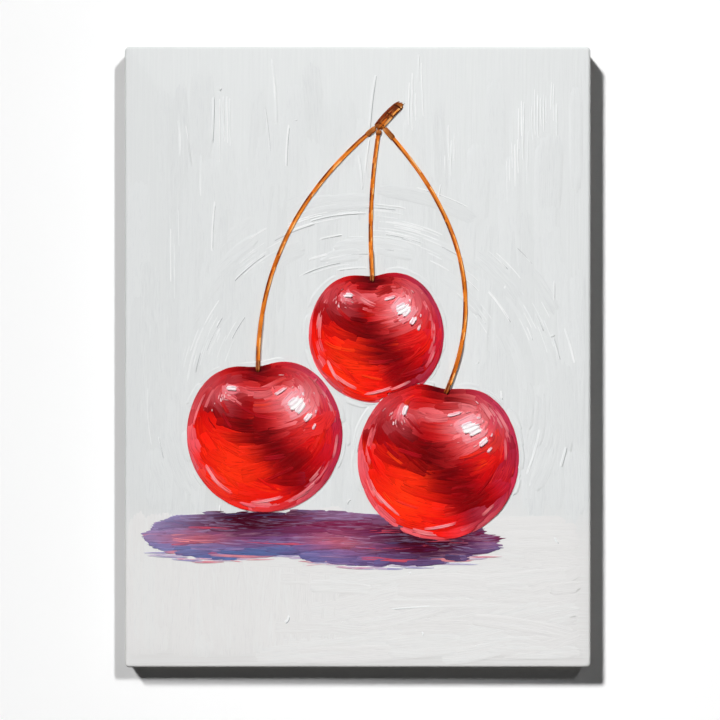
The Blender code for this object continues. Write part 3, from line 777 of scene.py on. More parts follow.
def fruitPaint(u, v, lean):
    # glassy flesh: pale where the light strikes, dark behind that, and glowing on the far side
    lightU, lightV = cherryLook["light"]
    out = math.hypot(u, v)
    towards = u * lightU + v * lightV
    aside = u * lightV - v * lightU
    hollowU = u + math.sin(math.radians(lean)) * 0.8
    colour = hexColour(cherryLook["base"])
    for name, share in (
        ("deep", 0.8 * smoothStep(0.1, 0.8, -towards + 0.35)),
        ("scarlet", smoothStep(-0.24, -0.46, towards)),
        ("glow", 0.95 * nearSpot(u, v, cherryLook["glowSpot"], 0.12)),
        ("scarlet", 0.8 * math.exp(-((towards - 0.48) ** 2 / 0.05 + aside ** 2 / 0.6))),
        ("core", 0.97 * math.exp(-((towards + 0.04) ** 2 / 0.040 + aside ** 2 / 0.75))),
        ("mauve", 0.7 * smoothStep(0.74, 0.98, out) * smoothStep(-0.1, 0.9, u)),
        ("rim", 0.9 * smoothStep(0.84, 0.96, out) * smoothStep(0.40, -0.60, towards)),
        ("halo", 0.95 * nearSpot(u, v, cherryLook["haloSpot"], 0.058)),
        ("rim", 0.7 * nearSpot(u, v, cherryLook["smallSpot"], 0.028)),
        ("lip", 0.7 * math.exp(-(hollowU ** 2 / 0.14 + (v - 0.54) ** 2 / 0.007))),
        ("hollow", 0.95 * math.exp(-(hollowU ** 2 / 0.07 + (v - 0.80) ** 2 / 0.018))),
    ):
        colour = blendColour(colour, hexColour(cherryLook[name]), share)
    return colour


def fleshAt(cherry, point, shift=(0, 0)):
    u, v = ((a - b) / cherry["radius"] + c for a, b, c in zip(point, cherry["centre"], shift))
    return fruitPaint(u, v, cherry["lean"])


def fruitFlow(u, v, lean, turn):
    # strokes wrap round the hollow, and run with the rim near it
    awayU, awayV = u + math.sin(math.radians(lean)) * 0.9, v - 0.92
    far = max(math.hypot(awayU, awayV), 0.001)
    wrap, rim = Vector((-awayV, awayU)) / far, Vector((-v, u))
    if wrap.dot(rim) < 0:
        rim.negate()
    flow = wrap.lerp(rim, smoothStep(0.45, 0.95, math.hypot(u, v))).normalized()
    flow.rotate(Matrix.Rotation(turn, 2))
    return flow


def fruitPath(cherry, u, v, length, turn, margin):
    # a path both ways along the flow, held inside the outline
    radius, steps = cherry["radius"], 4
    halves = []
    for sense in (1, -1):
        x, z, half = u, v, []
        for _ in range(steps):
            stepU, stepV = fruitFlow(x, z, cherry["lean"], turn)
            x += sense * stepU * length / (2 * steps) / radius
            z += sense * stepV * length / (2 * steps) / radius
            reach = math.hypot(x, z)
            most = (outlineRadius(cherry, math.atan2(z, x)) - margin) / radius
            if reach > most:
                x, z = x * most / reach, z * most / reach
            half.append((x, z))
        halves.append(half)
    centreX, centreZ = cherry["centre"]
    return [(centreX + x * radius, centreZ + z * radius) for x, z in (*halves[1][::-1], (u, v), *halves[0])]


def domeLift(out, layer):
    return cherryLook["foot"] + cherryLook["dome"] * math.sqrt(max(0, 1 - min(out, 1) ** 2.4)) + layer


def insideFruit(point, cherry, margin):
    dx, dz = point[0] - cherry["centre"][0], point[1] - cherry["centre"][1]
    return math.hypot(dx, dz) < outlineRadius(cherry, math.atan2(dz, dx)) + margin


def fruitBrushwork(cherry, hiddenBy=None):
    look, rng = cherryLook, random.Random(cherry["seed"])
    span = drawFrom(rng, look)
    radius, centre = cherry["radius"], cherry["centre"]
    laid = []

    def lay(path, halfWidth, layer, thick, ragged, jitter, streakShare, accent=None):
        if hiddenBy:
            path = clipPath(path, lambda p: insideFruit(p, hiddenBy, halfWidth * 0.35))
            if not path:
                return
        shift, value = (rng.gauss(0, jitter), rng.gauss(0, jitter)), 1 + rng.gauss(0, look["valueSpread"])
        paints = [tuple(c * value for c in fleshAt(cherry, point, shift)) for point in path]
        if accent:
            paints = [blendColour(paint, accent, 0.6 * share) for paint, share in zip(paints, arch(path))]
        pale, bright, rich = (pick(rng, look[key]) for key in ("streaks", "bright", "rich"))
        streaks = []
        for paint in paints:
            target = rich if paint[0] < 0.42 else pale if paint[1] > 0.06 else bright
            streaks.append(blendColour(paint, target, streakShare))
        lift = domeLift(math.dist(path[len(path) // 2], centre) / radius, layer)
        laid.append(laidStroke(path, halfWidth, lift, thick, paints, streaks, ragged))

    def layUnder(path, halfWidth):
        lay(path, halfWidth, 0, 0.0004, 0.002, 0.03, 0.16)

    # under-strokes in close rings cover the whole form
    for ring in look["rings"]:
        count = round(look["ringStrokes"] * ring)
        sweep = look["ringLength"] / (radius * max(ring, 0.25))
        halfWidth = look["ringHalf"] if ring < look["outerRing"] else look["outerHalf"]
        for i in range(count):
            angle = math.tau * (i + rng.random() * 0.4) / count
            turns = [angle + sweep * (t - 0.5) for t in shares(6)]
            layUnder([polar(centre, ring * outlineRadius(cherry, turn), turn) for turn in turns], halfWidth)
    for drop in look["drops"]:
        layUnder([(centre[0] + look["ringLength"] * (t - 0.5), centre[1] + drop) for t in shares(6)],
                 look["dropHalf"])
    # the modelling strokes, laid wet over them
    for number in range(look["body"]):
        out = math.sqrt((number + 0.5) / look["body"]) * look["bodyOut"]
        u, v = polar((0, 0), out, number * goldenTurn)
        halfWidth, length, ragged = span("bodyHalf"), span("bodyLength"), look["bodyRagged"]
        nearHollow = v > look["hollowFrom"]
        if nearHollow:  # smaller strokes
            halfWidth, length, ragged = halfWidth * 0.5, length * 0.5, look["hollowRagged"]
        path = fruitPath(cherry, u, v, length, rng.gauss(0, look["bodyTurn"]), halfWidth)
        if nearHollow:
            path = clipPath(path, lambda p: not insideFruit(p, cherry, -halfWidth - look["hollowGap"]))
        if path:
            lay(path, halfWidth, span("bodyLift"), 0.0003, ragged, 0.032, span("bodyStreak"))
    # shorter accents
    for _ in range(look["accents"]):
        angle, out = rng.uniform(0, math.tau), math.sqrt(rng.random()) * look["accentOut"]
        halfWidth, place = span("accentHalf"), polar((0, 0), out, angle)
        path = fruitPath(cherry, *place, span("accentLength"), rng.gauss(0, look["accentTurn"]), halfWidth)
        here = fleshAt(cherry, path[len(path) // 2])
        shades = "rich" if here[0] < 0.60 else "streaks" if here[1] > 0.06 else "bright"
        accent = pick(rng, look[shades])
        lay(path, halfWidth, span("accentLift"), 0.0003, 0.003, 0.02, 0.2, accent)
    # specks of pale paint where the light catches the skin
    for _ in range(look["specks"]):
        spot, size = rng.choice(look["speckSpots"])
        u, v = (at + rng.gauss(0, size) for at in look[spot])
        halfWidth = span("speckHalf")
        path = fruitPath(cherry, u, v, span("speckLength"), rng.gauss(0, 0.1), look["speckGap"])
        lay(path, halfWidth, span("speckLift"), 0.0004, 0.0008, 0.02, 0.1, pick(rng, look["dust"]))
    # rosy strokes dragged along the rim, clear of the hollow
    for _ in range(look["rimStrokes"]):
        angle, out, halfWidth = math.radians(span("rimTurns")), span("rimOut"), span("rimHalf")
        path = fruitPath(cherry, *polar((0, 0), out, angle), span("rimLength"), 0, look["rimGap"])
        lay(path, halfWidth, span("rimLift"), 0.0003, 0.004, 0.02, 0.2, pick(rng, look["rimPaint"]))
    return laid


glintLook = {
    # u, v, length, half width, thickness, paint, streak, ragged
    "marks": (
        (0.44, 0.34, 0.020, 0.0052, 0.0003, "#F29AA2", "#EE8088", 0.007),
        (0.36, 0.46, 0.022, 0.0044, 0.0003, "#F4A8B0", "#EE8C94", 0.007),
        (0.455, 0.350, 0.010, 0.0022, 0.0011, "#FBF3F3", "#E6C6D0", 0.004),
        (0.410, 0.390, 0.013, 0.0024, 0.0012, "#FDF7F6", "#EBD2DA", 0.005),
        (0.368, 0.430, 0.010, 0.0021, 0.0012, "#FBF3F3", "#E6C6D0", 0.005),
        (0.56, 0.22, 0.008, 0.0017, 0.0011, "#FAE9EB", "#E8B6C2", 0.003),
        (0.20, 0.56, 0.010, 0.0011, 0.0008, "#F6D2D8", "#F09CA6", 0.003),
        (0.64, 0.11, 0.005, 0.0009, 0.0008, "#F4C4CC", "#EA8E98", 0.002),
        (-0.44, 0.58, 0.014, 0.0030, 0.0003, "#EE8E96", "#E0606C", 0.005),
        (-0.42, 0.60, 0.008, 0.0015, 0.0011, "#FAE9EB", "#E8B6C2", 0.003),
        (-0.66, -0.54, 0.022, 0.0010, 0.0005, "#F4989C", "#EE7078", 0.005),
        (0.04, -0.84, 0.026, 0.0010, 0.0005, "#F4989C", "#E0606C", 0.005),
        (0.50, 0.52, 0.003, 0.0006, 0.0008, "#FAE6EA", "#F4C0CA", 0.001),
        (0.66, 0.30, 0.003, 0.0005, 0.0008, "#FAE6EA", "#F4C0CA", 0.001),
        (-0.56, 0.44, 0.003, 0.0005, 0.0008, "#F8DCE2", "#F4C0CA", 0.001),
    ),
    # shade and shadeStreak colour the painted shadow stroke below each thick dab
    "shade": "#6E0010", "shadeStreak": "#B01828", "lift": 0.00075, "glaze": 0.0006, "thickFrom": 0.001,
}


def glintBrushwork(cherry):
    # thick pale dabs in the light, each main one with a thin dark stroke painted below it as its shadow
    rng = random.Random(cherry["seed"] + 100)
    laid = []
    for u, v, length, halfWidth, thick, paint, streak, ragged in glintLook["marks"]:
        u, v = u + rng.uniform(-0.008, 0.008), v + rng.uniform(-0.008, 0.008)
        lift = domeLift(math.hypot(u, v), glintLook["lift"])
        path = fruitPath(cherry, u, v, length * cherry["radius"] / 0.05, rng.gauss(0, 0.12), 0.003)
        if thick > glintLook["thickFrom"]:
            # painted shadow: a thin dark stroke just below the raised dab
            paintedShadowPath = [(x + 0.0003, z - halfWidth * 0.9) for x, z in path]
            laid.append(laidStroke(paintedShadowPath, 0.0006, lift, 0.0004, hexColour(glintLook["shade"]),
                                   hexColour(glintLook["shadeStreak"]), 0.001))
        colours = [[hexColour(shade)] * len(path) for shade in (paint, streak)]
        if thick < glintLook["glaze"]:  # thin glazes fade into the flesh at both ends
            fades = [math.sin(math.pi * (i + 0.3) / (len(path) - 0.4)) for i in range(len(path))]
            colours = [[blendColour(fleshAt(cherry, point), shade, fade)
                        for point, shade, fade in zip(path, shades, fades)] for shades in colours]
        laid.append(laidStroke(path, halfWidth, lift, thick, *colours, ragged))
    return laid


groundStrokes = {
    "seed": 11, "lift": 0.00042, "liftSpread": 0.00012, "thick": 0.00022, "thickShare": (0.3, 0.8),
    "cool": ("#D9DBDB", "#DCDEDE", "#D8DADA", "#DBDDDD"),
    "warm": ("#DFDEDD", "#E0E0DF", "#DEDDDC", "#E0DFDE"),
    # the raised lines, and the dark painted shadow lines laid below some of them
    "line": ("#EBECEC", "#E3E5E5"), "score": ("#A6A8AA", "#B8BABB"), "scoreHalf": 0.00030,
    # the strokes that wheel round the fruit, and the lines that the upper and the lower strokes end at
    "middle": (0.004, -0.030), "wheel": 0.136, "wheelFoot": -0.085, "haloFoot": -0.090, "highFoot": -0.106,
    "lowTop": -0.098, "lowFoot": -0.1965, "lowSide": 0.1465, "side": 0.143,
    # how many of each kind, then their half widths, lengths or sweeps, and where they lie
    "high": 130, "highHalf": (0.0035, 0.0085), "highLength": (0.05, 0.15), "highTop": (-0.06, 0.194),
    "highLean": (-0.005, 0.005), "highAcross": (-0.147, 0.147), "waver": 0.0005,
    "low": 120, "lowHalf": (0.0035, 0.0080), "lowLength": (0.04, 0.11), "lowBow": (-0.010, 0.014),
    "lowAcross": (-0.152, 0.152), "lowUp": (-0.194, -0.108), "edgeGap": 0.0012,
    "halo": 54, "haloHalf": (0.0028, 0.0060), "haloReach": (0.095, 0.140), "haloSweep": (0.25, 0.6),
    "cutIn": 21, "cutHalf": (0.0010, 0.0030), "cutSweep": (0.25, 0.65), "cutGap": (-0.0008, 0.0005),
    "cutThick": (1.2, 2.2), "cutWaver": 0.0003, "cutMissing": 0.3, "cutShadowEnd": 0.10,
    "ridges": 70, "ridgeHalf": (0.00035, 0.00080), "ridgeReach": (0.085, 0.150), "ridgeSweep": (0.08, 0.42),
    "ridgeLength": (0.012, 0.050), "ridgeBend": (-0.3, 0.3), "ridgeAcross": (-0.142, 0.142, -0.09),
    "ridgeUp": (-0.19, 0.17, 0.12), "levelBelow": -0.11,
    "burrs": 22, "burrHalf": (0.0004, 0.0008), "burrReach": (0.0012, 0.0045), "burrSweep": (0.8, 1.9),
    "burrAcross": (-0.135, 0.135), "burrUp": (-0.188, 0.180),
    "combed": 30, "combHalf": (0.00028, 0.00045), "combLines": (3, 7), "combStep": (0.0017, 0.0024),
    "combStart": (0.3, 2.9), "combReach": (0.088, 0.130), "combSweep": (0.15, 0.45),
    "combAcross": (-0.138, 0.120), "combTop": (0.02, 0.185), "combLength": (0.020, 0.055),
    "turn": (0, math.tau), "part": (0.4, 1), "fruitGap": 0.003, "strokeGap": 0.006,
}


def onFruit(point, margin):
    return any(insideFruit(point, cherry, margin) for cherry in cherries.values())


def groundBrushwork():
    look, rng = groundStrokes, random.Random(groundStrokes["seed"])
    span, gauss, middle = drawFrom(rng, look), rng.gauss, look["middle"]
    laid = []

    def add(points, halfWidth, shades, margin, thick, ragged=0.009, ridge=0.0):
        shade, streak = (hexColour(text) for text in rng.sample(shades, 2))
        lift = look["lift"] + ridge + rng.uniform(0, look["liftSpread"])
        laid.append(laidStroke(keepInside(points, margin), halfWidth, lift, look["thick"] * thick,
                               shade, streak, ragged))

    def ridgeAndShadow(path, halfWidth, thick, shaded):
        # a raised line of paint, with a thin dark line painted on its lower side as its shadow
        if shaded:
            # painted shadow: a dark line just below and to the right of the raised one
            below = [(x + halfWidth * 0.9, z - halfWidth * 1.1) for x, z in path]
            add(below, look["scoreHalf"], look["score"], 0.004, 1, 0.001)
        add(path, halfWidth, look["line"], 0.004, thick, 0.002)

    def inWheel(point):
        return point[1] > look["wheelFoot"] and math.dist(point, middle) < look["wheel"]

    def underWheel(point):
        return point[1] < look["wheelFoot"]

    def offFoot(point):
        return abs(point[0]) > look["lowSide"] or not look["lowFoot"] < point[1] < look["lowTop"]

    # long upright strokes over the upper part
    for number in range(look["high"]):
        halfWidth, x = span("highHalf"), spread(number, golden, *look["highAcross"])
        top, length, lean = span("highTop"), span("highLength"), span("highLean")
        path = [(x + lean * t + rng.uniform(-1, 1) * look["waver"], top - length * t) for t in shares(5)]
        path = clipPath(path, lambda p: p[1] < look["highFoot"])
        add(path, halfWidth, look["cool"], halfWidth + look["edgeGap"], span("thickShare"))
    # softer strokes over the foot, mostly upright on the left and sweeping on the right
    for number in range(look["low"]):
        halfWidth, length, bow = span("lowHalf"), span("lowLength"), span("lowBow")
        x, z = spread(number, golden, *look["lowAcross"]), spread(number, plastic, *look["lowUp"])
        upright = rng.random() < smoothStep(0.06, -0.10, x)
        angle = math.pi / 2 + gauss(0, 0.06) if upright else gauss(0.04, 0.08)
        path = []
        for t in shares(8):
            alongX, alongZ = polar((x, z), length * (t - 0.5), angle)
            path.append((alongX, alongZ + (0 if upright else bow * t ** 2)))
        path = clipPath(path, offFoot)
        if path:
            add(path, halfWidth, look["warm"], halfWidth + look["edgeGap"], span("thickShare"), 0.005)
    # broad curved strokes that wheel round the fruit
    for number in range(look["halo"]):
        start = spread(number, golden, *look["turn"])
        path = arcPath(middle, span("haloReach"), start, start + span("haloSweep"))
        path = clipPath(path, lambda p: onFruit(p, look["strokeGap"]) or p[1] < look["haloFoot"])
        if path:
            add(path, span("haloHalf"), look["cool"], 0.007, 1.2, 0.008)
    # fat strokes cut in along each outline, over the edge of the fruit's first coat
    for cherry in cherries.values():
        for number in range(look["cutIn"]):
            start = math.tau * (number + rng.random() * 0.5) / look["cutIn"]
            halfWidth, sweep = span("cutHalf"), span("cutSweep")
            gap = halfWidth * 0.85 + span("cutGap")
            path = []
            for t in shares(8):
                angle = start + sweep * t
                reach = outlineRadius(cherry, angle) + gap + rng.uniform(-1, 1) * look["cutWaver"]
                path.append(polar(cherry["centre"], reach, angle))
            if rng.random() < look["cutMissing"]:
                continue
            path = clipPath(path, lambda p: onFruit(p, halfWidth * 0.6 - 0.0008)
                            or (p[1] < look["haloFoot"] and p[0] < look["cutShadowEnd"]))
            if path:
                add(path, halfWidth, look["cool"], look["strokeGap"], span("cutThick"), 0.004, 0.0001)
    # thin ridges where the edge of the brush left a line of paint, on the wheel or straight outside it, most
    # with a painted shadow line below
    for number in range(look["ridges"]):
        if number % 2:
            start, reach = span("turn"), span("ridgeReach")
            path = arcPath(middle, reach, start, start + span("ridgeSweep"))
        else:
            x, z = rng.triangular(*look["ridgeAcross"]), rng.triangular(*look["ridgeUp"])
            angle = gauss(math.pi / 2, 0.07) if z > look["levelBelow"] else gauss(0.06, 0.06)
            length, bend = span("ridgeLength"), span("ridgeBend")
            path = []
            for t in shares(5):
                path.append((x, z))
                x, z = polar((x, z), length / 5, angle + bend * t)
        crossing = underWheel if number % 2 else inWheel
        path = clipPath(path, lambda p: onFruit(p, look["fruitGap"]) or crossing(p))
        if path:
            ridgeAndShadow(path, span("ridgeHalf"), 2.8 if number % 8 == 0 else 1.3, number % 3 > 0)
    # small burrs where the knife or the brush lifted off, each with a painted shadow line below
    for _ in range(look["burrs"]):
        x, z, start = span("burrAcross"), span("burrUp"), span("turn")
        path = arcPath((x, z), span("burrReach"), start, start + span("burrSweep"))
        if not any(onFruit(p, look["strokeGap"]) or abs(p[0]) > look["side"] for p in path):
            ridgeAndShadow(path, span("burrHalf"), 2.2, True)
    # combed groups of fine lines, left by a stiff brush: round the fruit, and upright above it; one line in
    # each group round the fruit has a painted shadow line below
    for number in range(look["combed"]):
        start, reach, sweep = span("combStart"), span("combReach"), span("combSweep")
        x, top, length = span("combAcross"), span("combTop"), span("combLength")
        crossing = underWheel if number % 3 else inWheel
        for line in range(rng.randint(*look["combLines"])):
            step, slip = line * span("combStep"), gauss(0, 1)
            if number % 3:
                first = start + slip * 0.07
                path = arcPath(middle, reach + step, first, first + sweep * span("part"))
            else:
                run, lean = length * span("part"), gauss(0, 0.02)
                path = [(x + step + lean * run * t, top + slip * 0.008 - run * t) for t in shares(6)]
            path = clipPath(path, lambda p: onFruit(p, look["fruitGap"]) or crossing(p)
                            or abs(p[0]) > look["side"])
            if path:
                ridgeAndShadow(path, span("combHalf"), 1.2, line == 1 and number % 3 > 0)
    return laid


paintPiece("groundBrushwork", groundBrushwork(), "paint_ground",
           0.0010, 0.00016, 1, palePaint)
for cherryName, cherry in cherries.items():
    hider = cherries["front"] if cherryName == "middle" else None
    paintPiece(f"cherry{cherryName.title()}", fruitBrushwork(cherry, hider),
               f"paint_cherry_{cherryName}", 0.0008, 0.00032, cherry["seed"])
    paintPiece(f"glints{cherryName.title()}", glintBrushwork(cherry),
               f"paint_glint_{cherryName}", 0.0006, 0.0005, cherry["seed"] + 5)

shadowLook = {
    # centre x, centre z, half length, half height of each fruit's shadow
    "pools": (
        (0.018, -0.1195, 0.080, 0.0165), (-0.084, -0.1150, 0.060, 0.0165), (-0.030, -0.1080, 0.060, 0.0100),
    ),
    "plum": "#42041C", "wine": "#7E1844", "violet": "#80588E", "blue": "#4E72A6", "lilac": "#9A90BC",
    "rose": "#C4606E", "roseAt": (-0.012, -0.104), "blueAt": -0.075,
    "streaks": ("#A89CC4", "#5E3A70", "#C08EA4", "#5A6CA0"), "warm": ("#D85060", "#C44458", "#E88C90"),
    "dry": ("#B49CC0", "#CC94AE", "#9C94C0", "#C0A4C4", "#D88C98"), "bare": "#DCDCDF",
    "seed": 41, "rows": 12, "columns": 9, "rowStep": 0.0034, "columnStep": 0.0285, "rowHalf": 0.0030,
    "rowLength": 0.046, "rowLift": 0.0006, "first": (-0.136, -0.1352), "columnShift": (0, 0.012),
    "strokes": 240, "across": (0.094, -0.140), "up": (-0.136, -0.098), "half": (0.0009, 0.0028),
    "length": (0.026, 0.066), "lift": (0.00072, 0.00097), "thick": 0.0003, "ragged": 0.007,
    "rosyHalf": (0.0007, 0.0013), "rosyShare": 0.12, "rosyBelow": -0.106,
    "fringe": 60, "fringeAcross": (0.080, -0.130), "fringeHalf": (0.0003, 0.0008),
    "fringeLength": (0.008, 0.028), "fringeDrop": (-0.0030, 0.0012), "fringeLift": 0.00070,
    "fringeThick": 0.00018, "fringeRagged": 0.006,
}


def inShadow(x, z, margin):
    return any(((x - cx) / (wide - margin * 1.5)) ** 2 + ((z - cz) / (tall - margin)) ** 2 < 1
               for cx, cz, wide, tall in shadowLook["pools"])


def shadowEdges(x):
    spans = [(z, tall * math.sqrt(1 - ((x - cx) / wide) ** 2))
             for cx, z, wide, tall in shadowLook["pools"] if abs(x - cx) < wide]
    return min(z - half for z, half in spans), max(z + half for z, half in spans)


def shadowPaint(x, z):
    # plum where the fruit stands, rose and violet beyond it, lilac at the far end and blue along the foot
    contact = 0
    for cherry in (cherries["left"], cherries["front"]):
        awayX, awayZ = x - cherry["centre"][0] + 0.008, z - cherry["centre"][1] + cherry["radius"]
        contact = max(contact, math.exp(-(awayX ** 2 / 0.0013 + awayZ ** 2 / 0.00024)))
    low, high = shadowEdges(min(max(x, -0.142), 0.096))
    level = (z - (low + high) / 2) / max((high - low) / 2, 0.004)
    rosy = max(math.exp(-((x - at) ** 2 / 0.0005 + (level + 0.15) ** 2 / 0.10))
               for at in shadowLook["roseAt"])
    blue = 0.35 + 0.65 * math.exp(-((x - shadowLook["blueAt"]) ** 2) / 0.0018)
    colour = hexColour(shadowLook["wine"])
    for name, share in (
        ("violet", smoothStep(0.5, -0.3, level)),
        ("lilac", 0.8 * smoothStep(-0.07, -0.135, x) + 0.5 * smoothStep(0.4, 1.0, level)),
        ("rose", 0.85 * rosy),
        ("blue", 0.8 * smoothStep(-0.20, -0.75, level) * blue),
        ("plum", contact * 1.25),
    ):
        colour = blendColour(colour, hexColour(shadowLook[name]), min(share, 1))
    return colour


def shadowBrushwork():
    look, rng = shadowLook, random.Random(shadowLook["seed"])
    span, gauss = drawFrom(rng, look), rng.gauss
    laid = []

    def straight(x, z, length, slope):
        return [(x + length * (t - 0.5), z + slope * length * (t - 0.5)) for t in shares(6)]

    def lay(x, z, length, halfWidth, lift, rosy):
        slope, bow = gauss(0, 0.03), gauss(0.0008, 0.0012)
        line = zip(straight(x, z, length, slope), shares(6))
        path = clipPath([(px, pz + bow * (2 * t - 1) ** 2) for (px, pz), t in line],
                        lambda p: not inShadow(*p, halfWidth))
        if not path:
            return
        value = 1 + gauss(0, 0.10)
        paints = [tuple(c * value for c in shadowPaint(*point)) for point in path]
        target = pick(rng, look["warm" if rosy else "streaks"])
        if rosy:
            paints = [blendColour(paint, target, 0.8 * share) for paint, share in zip(paints, arch(path))]
        streaks = [blendColour(paint, target, 0.35) for paint in paints]
        laid.append(laidStroke(path, halfWidth, lift, look["thick"], paints, streaks, look["ragged"]))

    # rows that cover it, then the strokes that model it
    firstX, firstZ = look["first"]
    for row in range(look["rows"]):
        for column in range(look["columns"]):
            x, z = firstX + look["columnStep"] * column + span("columnShift"), firstZ + look["rowStep"] * row
            lay(x, z, look["rowLength"], look["rowHalf"], look["rowLift"], False)
    for number in range(look["strokes"]):
        x, z = spread(number, golden, *look["across"]), spread(number, plastic, *look["up"])
        rosy = rng.random() < look["rosyShare"] and z < look["rosyBelow"]
        halfWidth = span("rosyHalf" if rosy else "half")
        lay(x, z, span("length"), halfWidth, span("lift"), rosy)
    # dry, broken strokes dragged out over its lower edge
    bare = hexColour(look["bare"])
    for number in range(look["fringe"]):
        x = spread(number, golden, *look["fringeAcross"])
        length, slope, drop = span("fringeLength"), gauss(0.0, 0.05), span("fringeDrop")
        path = straight(x, shadowEdges(max(x, -0.138))[0] - drop, length, slope)
        paint = pick(rng, look["dry"])
        paints = [blendColour(bare, paint, 0.25 + 0.75 * share) for share in arch(path)]
        streaks = [blendColour(shade, bare, 0.6) for shade in paints]
        laid.append(laidStroke(keepInside(path, 0.004), span("fringeHalf"), look["fringeLift"],
                               look["fringeThick"], paints, streaks, look["fringeRagged"]))
    return laid


paintPiece("shadowBrushwork", shadowBrushwork(), "paint_shadow", 0.0008, 0.0002, 3)

stemLook = {
    "tops": {"left": (0.0120, 0.1484), "front": (0.0166, 0.1482), "middle": (0.0140, 0.1470)},
    "bends": {"left": (-0.066, 0.085), "front": (0.096, 0.062), "middle": (0.006, 0.100)},
    "dark": ("#7A2C10", "#8C3A14", "#6A2010"), "body": ("#D2701E", "#E07E26", "#C86418"),
    "light": ("#F8A850", "#FBC078", "#F49238"), "bark": ("#6A3418", "#8A4A20", "#A25C28"),
    "sections": 7, "bodyRun": 0.22, "bodyHalf": 0.0014, "bodyShift": (-0.0001, 0.0001), "bodyLift": (0, 0.0001),
    # run along the stem, shift, half width, height, paint, thickness
    "sides": (
        ((0.10, 0.19), -0.00095, 0.0005, 0.00022, "dark", 0.0005),
        ((0.06, 0.15), 0.00065, 0.00045, 0.00030, "light", 0.0006),
    ),
    # low, high, shift, half width, height, paint: a knob on the spur, and a dab where it sinks into the fruit
    "ends": ((0.955, 1.0, 0.0, 0.0018, 0.0003, "bark"), (0.0, 0.05, -0.0002, 0.0013, 0.0006, "dark")),
    "spur": ((0.0125, 0.1470), (0.0188, 0.1556), (0.0300, 0.1650)),
    # shift, half width, low, high, paint
    "spurStrokes": (
        (-0.0016, 0.0018, 0.0, 0.92, "bark"), (0.0012, 0.0018, 0.02, 0.96, "bark"),
        (0.0, 0.0020, 0.0, 0.55, "bark"), (0.0002, 0.0018, 0.40, 0.97, "bark"),
        (0.0022, 0.0008, 0.10, 0.62, "light"), (0.0016, 0.0006, 0.52, 0.93, "light"),
        (-0.0024, 0.0007, 0.05, 0.80, "dark"), (-0.0004, 0.0005, 0.20, 0.70, "dark"),
        (0.0006, 0.0008, 0.05, 0.45, "body"),
    ),
    "spurRings": (0.18, 0.52, 0.80), "ringRun": (0.0052, -0.0032, 0.0006),
    "ringPaint": "#4E2210", "ringStreak": "#8A4A20", "spurSeed": 77,
}


def bendPoint(start, bend, end, t):
    return tuple(a * (1 - t) ** 2 + b * 2 * t * (1 - t) + c * t * t for a, b, c in zip(start, bend, end))


def bendStrip(curve, low, high, shift):
    # part of a bend, moved sideways
    path = []
    for share in shares(6):
        t = low + (high - low) * share
        x, z = bendPoint(*curve, t)
        aheadX, aheadZ = bendPoint(*curve, t + 0.01)
        length = math.dist((x, z), (aheadX, aheadZ))
        path.append((x + shift * (aheadZ - z) / length, z - shift * (aheadX - x) / length))
    return path


def stemBrushwork(name, cherry):
    rng = random.Random(cherry["seed"] + 200)
    span = drawFrom(rng, stemLook)
    lean = math.sin(math.radians(cherry["lean"]))
    foot = tuple(at + cherry["radius"] * 0.80 * way for at, way in zip(cherry["centre"], (-lean, 1)))
    curve = (foot, stemLook["bends"][name], stemLook["tops"][name])
    laid = []

    def lay(low, high, shift, half, raised, shades, thick=0.0005):
        paints = [pick(rng, stemLook[shades]) for _ in range(7)]
        streaks = [blendColour(paint, pick(rng, stemLook["light"]), 0.3) for paint in paints]
        lift = (0.0021 if low < 0.1 else 0.0009) + raised
        laid.append(laidStroke(bendStrip(curve, low, high, shift), half, lift, thick, paints, streaks, 0.002))

    for low in shares(6)[:-1]:
        lay(low, min(low + stemLook["bodyRun"], 1), span("bodyShift"), stemLook["bodyHalf"], span("bodyLift"),
            "body")
    for step in range(stemLook["sections"]):
        for run, *look in stemLook["sides"]:
            low = max(0, (step - rng.random() * 0.6) / stemLook["sections"])
            lay(low, min(low + rng.uniform(*run), 1), *look)
    for end in stemLook["ends"]:
        lay(*end)
    return laid


def spurBrushwork():
    rng = random.Random(stemLook["spurSeed"])
    laid = []
    for shift, half, low, high, shades in stemLook["spurStrokes"]:
        paints = [pick(rng, stemLook[shades]) for _ in range(7)]
        streaks = [blendColour(paint, pick(rng, stemLook["dark"]), 0.5) for paint in paints]
        path = bendStrip(stemLook["spur"], low, high, shift)
        laid.append(laidStroke(path, half, 0.0010 + len(laid) * 0.00008, 0.0006, paints, streaks, 0.003))
    # rings of bark across it
    for place in stemLook["spurRings"]:
        x, z = bendPoint(*stemLook["spur"], place)
        acrossX, acrossZ, bulge = stemLook["ringRun"]
        path = [(x + acrossX * (t - 0.5), z + acrossZ * (t - 0.5) + bulge * math.sin(t * math.pi))
                for t in shares(6)]
        laid.append(laidStroke(path, 0.0005, 0.0017, 0.0005, hexColour(stemLook["ringPaint"]),
                               hexColour(stemLook["ringStreak"]), 0.001))
    return laid


for cherryName, cherry in cherries.items():
    paintPiece(f"stem{cherryName.title()}", stemBrushwork(cherryName, cherry),
               f"paint_stem_{cherryName}", 0.0006, 0.00018, cherry["seed"])
paintPiece("spur", spurBrushwork(), "paint_spur", 0.0006, 0.0002, 9)

